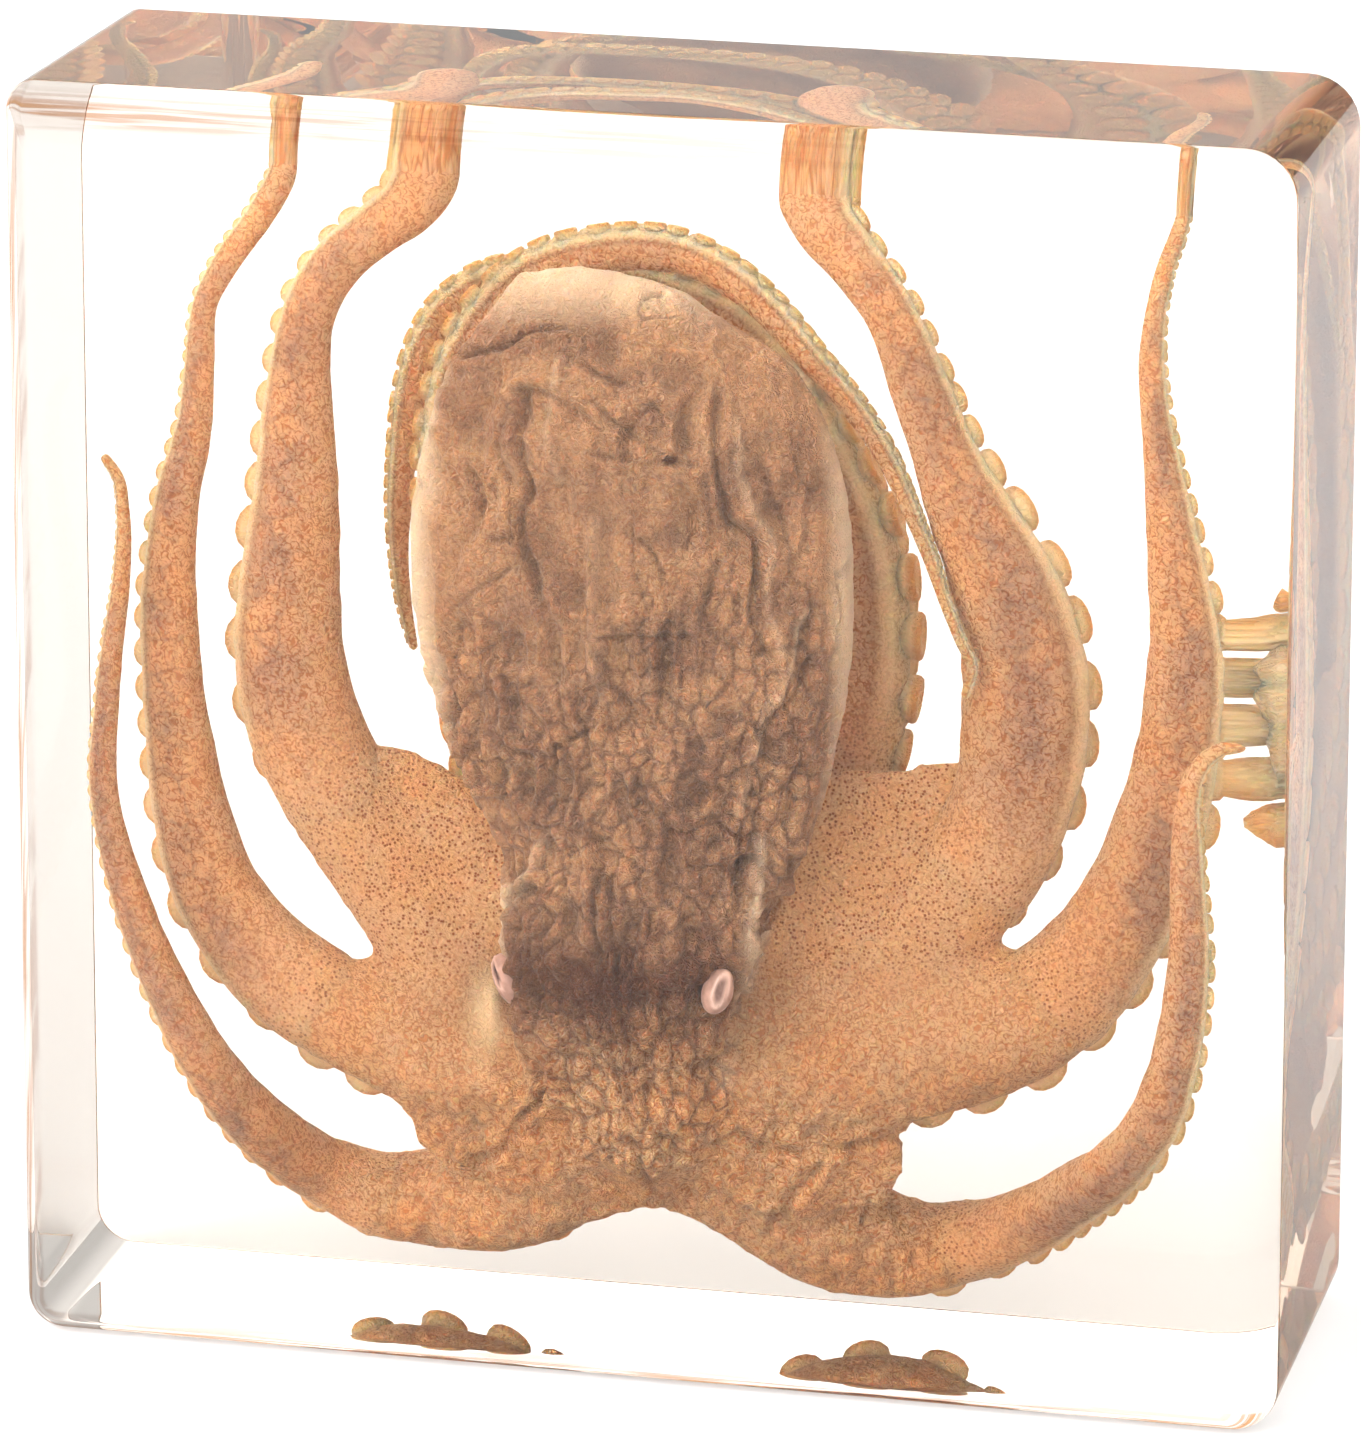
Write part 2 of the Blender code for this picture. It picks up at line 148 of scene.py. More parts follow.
def lumps(points: np.ndarray, size: Size, seed: int) -> np.ndarray:
    """Smooth noise over space.

    Args:
        points: Places, one a row.
        size: How far apart the noise's lumps are, in metres, all round or along x, y and z.
        seed: Picks the noise.

    Returns:
        A value between -1 and 1 for each place.
    """
    side = 32
    table = np.random.default_rng(seed).uniform(-1.0, 1.0, (side, side, side))
    scaled = points / np.asarray(size)
    cell = np.floor(scaled).astype(int)
    share = ease(scaled - cell)
    total = np.zeros(len(points))
    for corner in np.ndindex(2, 2, 2):
        weight = np.prod(np.where(corner, share, 1.0 - share), axis=1)
        total += weight * table[tuple(((cell + corner) % side).T)]
    return total
@dataclass(frozen=True)
class Grain:
    """One layer of noise: how far apart its lumps are, in metres, its seed and its height."""

    size: Size
    seed: int
    height: float = 1.0

    def at(self, points: np.ndarray) -> np.ndarray:
        """The layer's value at points."""
        return self.height * lumps(points, self.size, self.seed)

def cell_edges(points: np.ndarray, size: tuple[float, float, float], seed: int) -> np.ndarray:
    """How far places lie from the borders of cells that fill space like cobbles.

    Args:
        points: Places, one a row.
        size: How large the cells are along x, y and z, in metres.
        seed: Picks the cells.

    Returns:
        0 on a border, up to about 1 in a cell's middle.
    """
    side = 24
    shifts = np.random.default_rng(seed).uniform(0.1, 0.9, (side, side, side, 3))
    scaled = points / np.asarray(size)
    cell = np.floor(scaled).astype(int)
    nearest = np.full(len(points), np.inf)
    second = np.full(len(points), np.inf)
    for step in np.ndindex(3, 3, 3):
        other = cell + np.array(step) - 1
        middle = other + shifts[tuple((other % side).T)]
        away = np.linalg.norm(scaled - middle, axis=1)
        second = np.minimum(second, np.maximum(nearest, away))
        nearest = np.minimum(nearest, away)
    return second - nearest


def distance_to_line(places: np.ndarray, line: np.ndarray) -> np.ndarray:
    """How far places lie from a bent line.

    Args:
        places: Places on the photograph, one a row.
        line: The line's points, one a row.

    Returns:
        Each place's distance to the line, in pixels.
    """
    nearest = np.full(len(places), np.inf)
    for start, end in zip(line, line[1:]):
        span = end - start
        share = np.clip((places - start) @ span / (span @ span), 0.0, 1.0)
        nearest = np.minimum(nearest, np.linalg.norm(places - start - share[:, None] * span, axis=1))
    return nearest


@dataclass(frozen=True)
class Sight:
    """The photograph's line of sight, in the frame of the block's front face.

    Places in the block are given by the pixel that they show at and their depth behind
    the front face, where the sight line bends.
    """

    eye: tuple[float, float, float] = (0.2056, -0.7966, 0.2916)
    turn: float = math.radians(14.52)
    dip: float = math.radians(16.14)
    focal_pixels: float = 10040.0
    centre: tuple[float, float] = (680.5, 726.5)
    front: float = -0.01725
    bend_rounds: int = 4

    def axes(self) -> np.ndarray:
        """The directions to the right, up and ahead, one a row."""
        ahead = np.array([
            -math.sin(self.turn) * math.cos(self.dip),
            math.cos(self.turn) * math.cos(self.dip),
            -math.sin(self.dip),
        ])
        right = np.array([math.cos(self.turn), math.sin(self.turn), 0.0])
        return np.array([right, np.cross(right, ahead), ahead])

    def bent(self, rays: np.ndarray) -> np.ndarray:
        """How far rays go across and up for each metre of depth, once they are in the resin."""
        flat = rays[:, [0, 2]] / RESIN_INDEX
        return flat / np.sqrt(1.0 - (flat**2).sum(axis=1, keepdims=True))

    def place(self, across: np.ndarray, down: np.ndarray, depth_mm: np.ndarray) -> np.ndarray:
        """Finds the points in the resin that show at pixels.

        Args:
            across: The pixels' columns.
            down: The pixels' rows.
            depth_mm: How deep behind the front face each point lies, in millimetres.

        Returns:
            The points, one a row.
        """
        right, up, ahead = self.axes()
        rays = ahead + np.outer((across - self.centre[0]) / self.focal_pixels, right)
        rays += np.outer((self.centre[1] - down) / self.focal_pixels, up)
        rays = unit_rows(rays)
        points = np.array(self.eye) + rays * ((self.front - self.eye[1]) / rays[:, 1:2])
        depth = np.asarray(depth_mm, dtype=float) * MILLIMETRE
        points[:, [0, 2]] += self.bent(rays) * depth[:, None]
        points[:, 1] += depth
        return points

    def seen(self, points: np.ndarray) -> np.ndarray:
        """Finds the pixels that points in the resin show at.

        Args:
            points: Points in the block, one a row.

        Returns:
            The pixels' columns and rows, one pair a row.
        """
        depth = points[:, 1:2] - self.front
        on_face = points.copy()
        on_face[:, 1] = self.front
        for _ in range(self.bend_rounds):
            rays = unit_rows(on_face - np.array(self.eye))
            on_face[:, [0, 2]] = points[:, [0, 2]] - self.bent(rays) * depth
        sideways, upwards, forwards = ((on_face - np.array(self.eye)) @ self.axes().T).T
        across = self.centre[0] + self.focal_pixels * sideways / forwards
        down = self.centre[1] - self.focal_pixels * upwards / forwards
        return np.column_stack([across, down])

    def stations(self, route: Route) -> np.ndarray:
        """A route's points in the block, each with its radius in the fourth column."""
        across, down, depth, half = np.array(route, dtype=float).T
        return np.column_stack([self.place(across, down, depth), half / PIXELS_PER_METRE])


SIGHT = Sight()


def smooth_route(stations: np.ndarray, spacing: float) -> np.ndarray:
    """Joins a route's stations by one smooth curve.

    Args:
        stations: Points with their radii, one a row.
        spacing: How far apart the curve's points are, in metres.

    Returns:
        The curve's points with their radii, one a row.
    """
    steps = np.linalg.norm(np.diff(stations[:, :3], axis=0), axis=1)
    knots = np.concatenate(([0.0], np.cumsum(steps)))
    slopes = np.gradient(stations, knots, axis=0)
    fine = np.linspace(0.0, knots[-1], int(knots[-1] / spacing) + 2)
    piece = np.clip(np.searchsorted(knots, fine, side="right") - 1, 0, len(steps) - 1)
    span = steps[piece][:, None]
    share = (fine - knots[piece])[:, None] / span
    rise = ease(share)
    leave = share * (1.0 - share) ** 2 * span
    arrive = share * share * (share - 1.0) * span
    curve = stations[piece] * (1.0 - rise) + stations[piece + 1] * rise
    return curve + slopes[piece] * leave + slopes[piece + 1] * arrive


def nearest_point(route: np.ndarray, place: np.ndarray) -> int:
    """The number of the route's point that is nearest to a place."""
    return int(np.argmin(np.linalg.norm(route[:, :3] - place[:3], axis=1)))


def linked(name: str, data: bpy.types.ID) -> bpy.types.Object:
    """A new object with some data, linked to the scene."""
    thing = bpy.data.objects.new(name, data)
    bpy.context.scene.collection.objects.link(thing)
    return thing


def object_of(name: str, work: bmesh.types.BMesh) -> bpy.types.Object:
    """A new object with the mesh that was worked on, which is then let go."""
    mesh = bpy.data.meshes.new(name)
    work.to_mesh(mesh)
    work.free()
    return linked(name, mesh)


def object_from(
    name: str, points: np.ndarray, faces: list, marks: dict[Mark, np.ndarray] | None = None,
) -> bpy.types.Object:
    """Makes an object from points and faces.

    Args:
        name: The object's name.
        points: The mesh's points, one a row.
        faces: The corners of each face.
        marks: Values for the points, by what they mark.

    Returns:
        The new object, linked to the scene.
    """
    mesh = bpy.data.meshes.new(name)
    mesh.from_pydata(points.tolist(), [], faces)
    mesh.shade_smooth()
    thing = linked(name, mesh)
    put_marks(thing, marks or {})
    return thing


def all_marks(count: int, given: dict[Mark, np.ndarray]) -> dict[Mark, np.ndarray]:
    """Every mark's values for a number of points, 0 where none is given."""
    return {mark: given.get(mark, np.zeros(count)) for mark in Mark}


def put_marks(thing: bpy.types.Object, marks: dict[Mark, np.ndarray]) -> None:
    """Keeps values on the points of an object's mesh.

    Args:
        thing: The object.
        marks: A value for each point, by what it marks.
    """
    for mark, values in marks.items():
        layer = thing.data.attributes.new(mark.value, "FLOAT", "POINT")
        layer.data.foreach_set("value", np.ascontiguousarray(values, dtype=np.float32))


def points_of(mesh: bpy.types.Mesh) -> tuple[np.ndarray, np.ndarray]:
    """A mesh's points and the directions that they face, one a row in each."""
    points = np.empty(len(mesh.vertices) * 3, dtype=np.float32)
    facing = np.empty(len(mesh.vertices) * 3, dtype=np.float32)
    mesh.vertices.foreach_get("co", points)
    mesh.vertices.foreach_get("normal", facing)
    return points.reshape(-1, 3).astype(float), facing.reshape(-1, 3).astype(float)


def move_points(mesh: bpy.types.Mesh, points: np.ndarray) -> None:
    """Puts a mesh's points in new places."""
    mesh.vertices.foreach_set("co", points.astype(np.float32).ravel())
    mesh.update()


def keep_shape(thing: bpy.types.Object) -> None:
    """Keeps the shape that an object's modifiers give it, and drops them."""
    bpy.context.view_layer.update()
    graph = bpy.context.evaluated_depsgraph_get()
    shaped = bpy.data.meshes.new_from_object(thing.evaluated_get(graph))
    thing.modifiers.clear()
    thing.data = shaped


def rings_to_faces(rings: int, around: int, start: int = 0) -> list[tuple[int, ...]]:
    """The faces of a tube of rings of points, with its ends closed.

    Args:
        rings: How many rings it has.
        around: How many points a ring has.
        start: The number of its first point.

    Returns:
        The corners of each face.
    """
    faces = []
    for ring in range(rings - 1):
        for step in range(around):
            after = (step + 1) % around
            low, high = start + ring * around, start + (ring + 1) * around
            faces.append((low + step, low + after, high + after, high + step))
    faces.append(tuple(start + step for step in reversed(range(around))))
    faces.append(tuple(start + (rings - 1) * around + step for step in range(around)))
    return faces


class Sketch:
    """Adds nodes to one node tree and links them."""

    def __init__(self, tree: bpy.types.NodeTree) -> None:
        """Keeps the tree that the nodes go in."""
        self.tree = tree

    def feed(self, socket: bpy.types.NodeSocket, value: object) -> None:
        """Links a socket to another's output, or sets its value."""
        if isinstance(value, bpy.types.NodeSocket):
            self.tree.links.new(value, socket)
        else:
            socket.default_value = value

    def node(
        self, kind: str, inputs: dict[str | int, object] | None = None, **settings: object,
    ) -> bpy.types.Node:
        """Adds a node.

        Args:
            kind: The node's type, without ShaderNode.
            inputs: Values or outputs for its inputs, by name or number.
            settings: Values of the node's own settings.

        Returns:
            The new node.
        """
        node = self.tree.nodes.new(f"ShaderNode{kind}")
        for name, value in settings.items():
            setattr(node, name, value)
        for name, value in (inputs or {}).items():
            self.feed(node.inputs[name], value)
        return node

    def math(self, operation: str, *values: object) -> bpy.types.NodeSocket:
        """The output of a Math node."""
        return self.node("Math", dict(enumerate(values)), operation=operation).outputs[0]

    def times(self, first: object, second: object) -> bpy.types.NodeSocket:
        """The product of two values."""
        return self.math("MULTIPLY", first, second)

    def mix(self, share: object, first: object, second: object, blend: str = "MIX") -> bpy.types.NodeSocket:
        """Mixes two colours, with none of the second where share is 0."""
        inputs = {0: share, 6: first, 7: second}
        return self.node("Mix", inputs, data_type="RGBA", blend_type=blend, clamp_factor=True).outputs[2]

    def fit(
        self, value: object, low: object, high: object, to_low: object = 0.0, to_high: object = 1.0,
    ) -> bpy.types.NodeSocket:
        """A value moved from one range to another, smoothly at both ends."""
        inputs = {"Value": value, "From Min": low, "From Max": high, "To Min": to_low, "To Max": to_high}
        return self.node("MapRange", inputs, interpolation_type="SMOOTHSTEP").outputs["Result"]

    def noise(self, vector: object, scale: object, detail: float) -> bpy.types.NodeSocket:
        """A noise's value."""
        return self.node("TexNoise", {"Vector": vector, "Scale": scale, "Detail": detail}).outputs[0]

    def cells(self, vector: object, scale: object, feature: str = "F1") -> bpy.types.NodeSocket:
        """The distance that a Voronoi texture gives."""
        inputs = {"Vector": vector, "Scale": scale}
        return self.node("TexVoronoi", inputs, feature=feature).outputs["Distance"]

    def wander(self, place: object, scale: float, detail: float, reach: object) -> bpy.types.NodeSocket:
        """A place pushed about by noise, so that what is laid out by it wavers."""
        noise = {"Vector": place, "Scale": scale, "Detail": detail}
        shift = self.node("TexNoise", noise).outputs["Color"]
        pulled = self.node("VectorMath", {0: shift, "Scale": reach}, operation="SCALE").outputs[0]
        return self.node("VectorMath", {0: place, 1: pulled}, operation="ADD").outputs[0]

    def mark(self, mark: Mark) -> bpy.types.NodeSocket:
        """A value kept on the mesh's points."""
        return self.node("Attribute", attribute_name=mark.value).outputs["Fac"]

    def place(self) -> bpy.types.NodeSocket:
        """The place on the object, in metres."""
        return self.node("TexCoord").outputs["Object"]

    def effect(self, group: bpy.types.NodeTree, **values: object) -> bpy.types.Node:
        """Places an effect's group with its own values."""
        node = self.tree.nodes.new("ShaderNodeGroup")
        node.node_tree = group
        for title, value in values.items():
            self.feed(node.inputs[title], value)
        return node

    def bump(self, shader: bpy.types.Node, height: object, distance: float) -> None:
        """Bends a shader's normal by a height."""
        bump = self.node("Bump", {"Height": height, "Distance": distance, "Strength": 1.0})
        self.feed(shader.inputs["Normal"], bump.outputs["Normal"])


def new_material(
    name: str, constants: dict[str, object],
) -> tuple[bpy.types.Material, Sketch, bpy.types.Node]:
    """Starts a material.

    Args:
        name: Its name.
        constants: Values for inputs of its shader, by name.

    Returns:
        The material, a sketch of its nodes, and its shader.
    """
    material = bpy.data.materials.new(name)
    material.use_nodes = True
    shader = material.node_tree.nodes["Principled BSDF"]
    for title, value in constants.items():
        shader.inputs[title].default_value = value
    return material, Sketch(material.node_tree), shader


class Effects:
    """The node groups that more than one skin uses, each made once."""

    def __init__(self) -> None:
        """Makes every group."""
        self.papillae = self.group("papillae", {"Fineness": 2600.0, "Waviness": 0.0009}, self.make_papillae)
        self.net = self.group("pigment net", {"Fineness": 420.0, "Line": 0.12}, self.make_net)
        self.pores = self.group("pores", {"Fineness": 1700.0, "Width": 0.44}, self.make_pores)
        self.mottle = self.group("mottle", {"Fineness": 160.0, "Low": 0.42, "High": 0.62}, self.make_mottle)

    @staticmethod
    def group(
        name: str, inputs: dict[str, float], make: Callable[[Sketch, Sockets], Sockets],
    ) -> bpy.types.NodeTree:
        """Makes one node group, which is laid out by a place.

        Args:
            name: The group's name.
            inputs: The first value of each input apart from Place, by name.
            make: Adds the nodes between the inputs and the outputs, all plain values.

        Returns:
            The group.
        """
        tree = bpy.data.node_groups.new(name, "ShaderNodeTree")
        tree.interface.new_socket(name="Place", in_out="INPUT", socket_type="NodeSocketVector")
        for title, value in inputs.items():
            socket = tree.interface.new_socket(name=title, in_out="INPUT", socket_type="NodeSocketFloat")
            socket.default_value = value
        entry, leave = tree.nodes.new("NodeGroupInput"), tree.nodes.new("NodeGroupOutput")
        sketch = Sketch(tree)
        for title, value in make(sketch, {name: entry.outputs[name] for name in ("Place", *inputs)}).items():
            tree.interface.new_socket(name=title, in_out="OUTPUT", socket_type="NodeSocketFloat")
            sketch.feed(leave.inputs[title], value)
        return tree

    @staticmethod
    def make_papillae(sketch: Sketch, given: Sockets) -> Sockets:
        """Fine packed bumps, with painted shade in the hollows between them, as on the skin of an arm."""
        moved = sketch.wander(given["Place"], 1500.0, 0.0, given["Waviness"])
        near = sketch.cells(moved, given["Fineness"])
        return {"Height": sketch.fit(near, 0.78, 0.15), "GapShade": sketch.fit(near, 0.40, 0.82)}

    @staticmethod
    def make_net(sketch: Sketch, given: Sockets) -> Sockets:
        """A wavering net of thin lines round cells, as where the skin's pigment gathers."""
        moved = sketch.wander(given["Place"], 900.0, 2.0, 0.0016)
        edge = sketch.cells(moved, given["Fineness"], "DISTANCE_TO_EDGE")
        return {"Lines": sketch.fit(edge, given["Line"], 0.0)}

    @staticmethod
    def make_pores(sketch: Sketch, given: Sockets) -> Sockets:
        """Small round dark dots, spaced out."""
        return {"Dots": sketch.fit(sketch.cells(given["Place"], given["Fineness"]), given["Width"], 0.16)}

    @staticmethod
    def make_mottle(sketch: Sketch, given: Sockets) -> Sockets:
        """Soft clouds of pigment."""
        cloud = sketch.noise(given["Place"], given["Fineness"], 3.0)
        return {"Clouds": sketch.fit(cloud, given["Low"], given["High"])}


@dataclass(frozen=True)
class SkinFinish:
    """Wet-looking skin: soft pigment over flesh that light passes into.

    A name that ends in share or shares says how much of a colour is mixed in.
    """

    name: str
    base: Colour
    warm: Colour
    pigment: Colour
    # The colour that multiplies the skin in the papillae's hollows: painted shade between the bumps.
    gap_shade_colour: Colour
    # The colour of painted light: the glow painted on the skin's lit edges and the highlights painted on its
    # ridges.
    rim: Colour
    sucker: Colour = linear(250, 204, 154)
    lip: Colour = linear(228, 164, 108)
    mantle: Colour = linear(205, 158, 118)
    mantle_pigment: Colour = linear(126, 92, 76)
    patch: Colour = linear(86, 44, 30)
    # The arms' own pale band, and the colour of the painted highlight on the head's side.
    pale: Colour = linear(252, 220, 176)
    # The colour of painted shade in creases, pits and slits.
    crease: Colour = linear(104, 68, 50)
    pore: Colour = linear(158, 90, 50)
    papilla_fineness: float = 3300.0
    net_fineness: float = 330.0
    pore_fineness: float = 2500.0
    mottle_fineness: float = 150.0
    freckle_fineness: float = 2100.0
    freckle_low: float = 0.44
    freckle_high: float = 0.6
    warm_share: float = 0.55
    stripe_shares: tuple[float, float] = (0.85, 0.35)
    freckled_shares: tuple[float, float] = (0.65, 0.9)
    cloud_share: float = 0.5
    freckle_share: float = 0.28
    net_share: float = 0.4
    web_calm: float = 0.8
    least_gap_shade: float = 0.45
    depth: float = 0.0016
    under_skin: float = 0.45
    reach_of_light: tuple[float, float, float] = (1.0, 0.55, 0.28)
    bump: float = 0.00050
    roughness: float = 0.5
    shine: float = 0.15

    def make(self, effects: Effects) -> bpy.types.Material:
        """Makes the material.

        Args:
            effects: The node groups to use.

        Returns:
            The skin's material.
        """
        material, sketch, shader = new_material(self.name, {
            "Roughness": self.roughness, "Specular IOR Level": self.shine,
            "Subsurface Weight": self.under_skin, "Subsurface Radius": self.reach_of_light,
            "Subsurface Scale": self.depth,
        })
        place = sketch.place()
        papillae = sketch.effect(effects.papillae, Place=place, Fineness=self.papilla_fineness)
        net = sketch.effect(effects.net, Place=place, Fineness=self.net_fineness)
        pores = sketch.effect(effects.pores, Place=place, Fineness=self.pore_fineness)
        mottle = sketch.effect(effects.mottle, Place=place, Fineness=self.mottle_fineness)
        speckle = sketch.effect(
            effects.mottle, Place=place, Fineness=self.freckle_fineness, Low=self.freckle_low,
            High=self.freckle_high,
        )
        clouds, freckles = mottle.outputs["Clouds"], speckle.outputs["Clouds"]
        marks = {mark: sketch.mark(mark) for mark in Mark}
        colour = sketch.mix(sketch.times(clouds, self.warm_share), self.base, self.warm)
        stripe = sketch.times(marks[Mark.STRIPE], sketch.fit(clouds, 0.0, 1.0, *self.stripe_shares))
        stripe = sketch.times(stripe, sketch.fit(freckles, 0.0, 1.0, *self.freckled_shares))
        colour = sketch.mix(stripe, colour, self.pigment)
        skin = sketch.mix(sketch.times(clouds, self.cloud_share), self.mantle, self.mantle_pigment)
        skin = sketch.mix(sketch.times(freckles, self.freckle_share), skin, self.mantle_pigment)
        colour = sketch.mix(marks[Mark.MANTLE], colour, skin)
        lines = sketch.times(net.outputs["Lines"], sketch.times(marks[Mark.STRIPE], self.net_share))
        colour = sketch.mix(sketch.math("MAXIMUM", lines, marks[Mark.NET]), colour, self.mantle_pigment)
        # Painted shade in the hollows between the papillae, less on the mantle and the web.
        smoother = sketch.math("MAXIMUM", marks[Mark.MANTLE], sketch.times(marks[Mark.PORES], self.web_calm))
        painted_gap_shade = sketch.times(papillae.outputs["GapShade"], sketch.fit(smoother, 0.0, 1.0, 1.0, self.least_gap_shade))
        colour = sketch.mix(painted_gap_shade, colour, self.gap_shade_colour, "MULTIPLY")
        colour = sketch.mix(sketch.times(pores.outputs["Dots"], marks[Mark.PORES]), colour, self.pore)
        # The eye patch, suckers and lips are the skin's own colours; the pale mark is the arms' own pale band
        # and a painted highlight; the rim mark is painted glow and highlights; the crease mark is painted
        # shade.
        for mark, tone in (
            (Mark.EYE_PATCH, self.patch), (Mark.PALE_BAND_AND_HIGHLIGHT, self.pale), (Mark.PAINTED_LIGHT, self.rim),
            (Mark.CREASE, self.crease), (Mark.SUCKER, self.sucker), (Mark.LIP, self.lip),
        ):
            colour = sketch.mix(marks[mark], colour, tone)
        sketch.feed(shader.inputs["Base Color"], colour)
        sketch.bump(shader, papillae.outputs["Height"], self.bump)
        return material


@dataclass(frozen=True)
class ResinFinish:
    """Polished clear resin, a little warm where light goes far through it."""

    name: str = "cast_resin"
    tint: Colour = (0.92, 0.54, 0.10, 1.0)
    density: float = 5.0
    # The colour of a painted reflection: the orange octopus seen in the front's left and bottom rims.
    painted_reflection: Colour = linear(156, 88, 26)
    streaks: tuple[float, float, float] = (70.0, 4200.0, 70.0)
    streak_range: tuple[float, float, float] = (0.40, 0.58, 0.30)

    def make(self) -> bpy.types.Material:
        """Makes the material, with a painted reflection in streaks where the mesh is marked for it."""
        material, sketch, shader = new_material(self.name, {
            "Roughness": 0.0, "Metallic": 0.0, "IOR": RESIN_INDEX, "Transmission Weight": 1.0,
        })
        stretched = {0: sketch.place(), 1: self.streaks}
        drawn = sketch.node("VectorMath", stretched, operation="MULTIPLY").outputs[0]
        streaks = sketch.fit(sketch.noise(drawn, 1.0, 2.0), *self.streak_range, 1.0)
        # Painted reflection in streaks along the marked rims.
        golden = sketch.times(sketch.mark(Mark.PAINTED_LIGHT), streaks)
        sketch.feed(shader.inputs["Base Color"], sketch.mix(golden, WHITE, self.painted_reflection))
        swallow = sketch.node("VolumeAbsorption", {"Color": self.tint, "Density": self.density})
        sketch.feed(material.node_tree.nodes["Material Output"].inputs["Volume"], swallow.outputs[0])
        return material


@dataclass(frozen=True)
class EyeFinish:
    """A clouded eye, with its dark slit marked on the mesh."""

    name: str = "clouded_eye"
    ball: Colour = linear(186, 146, 130)
    vein: Colour = linear(158, 120, 106)
    # The lid is painted paler: a painted highlight round the eye.
    lid: Colour = linear(214, 180, 164)
    slit: Colour = linear(62, 36, 34)
    vein_fineness: float = 900.0
    bump: float = 0.00005

    def make(self) -> bpy.types.Material:
        """Makes the material."""
        material, sketch, shader = new_material(self.name, {"Roughness": 0.3, "Specular IOR Level": 0.2})
        veins = sketch.noise(sketch.place(), self.vein_fineness, 3.0)
        ball = sketch.mix(sketch.fit(veins, 0.4, 0.7), self.ball, self.vein)
        # Painted highlight on the raised lid.
        ball = sketch.mix(sketch.mark(Mark.PAINTED_LIGHT), ball, self.lid)
        sketch.feed(shader.inputs["Base Color"], sketch.mix(sketch.mark(Mark.CREASE), ball, self.slit))
        sketch.bump(shader, veins, self.bump)
        return material


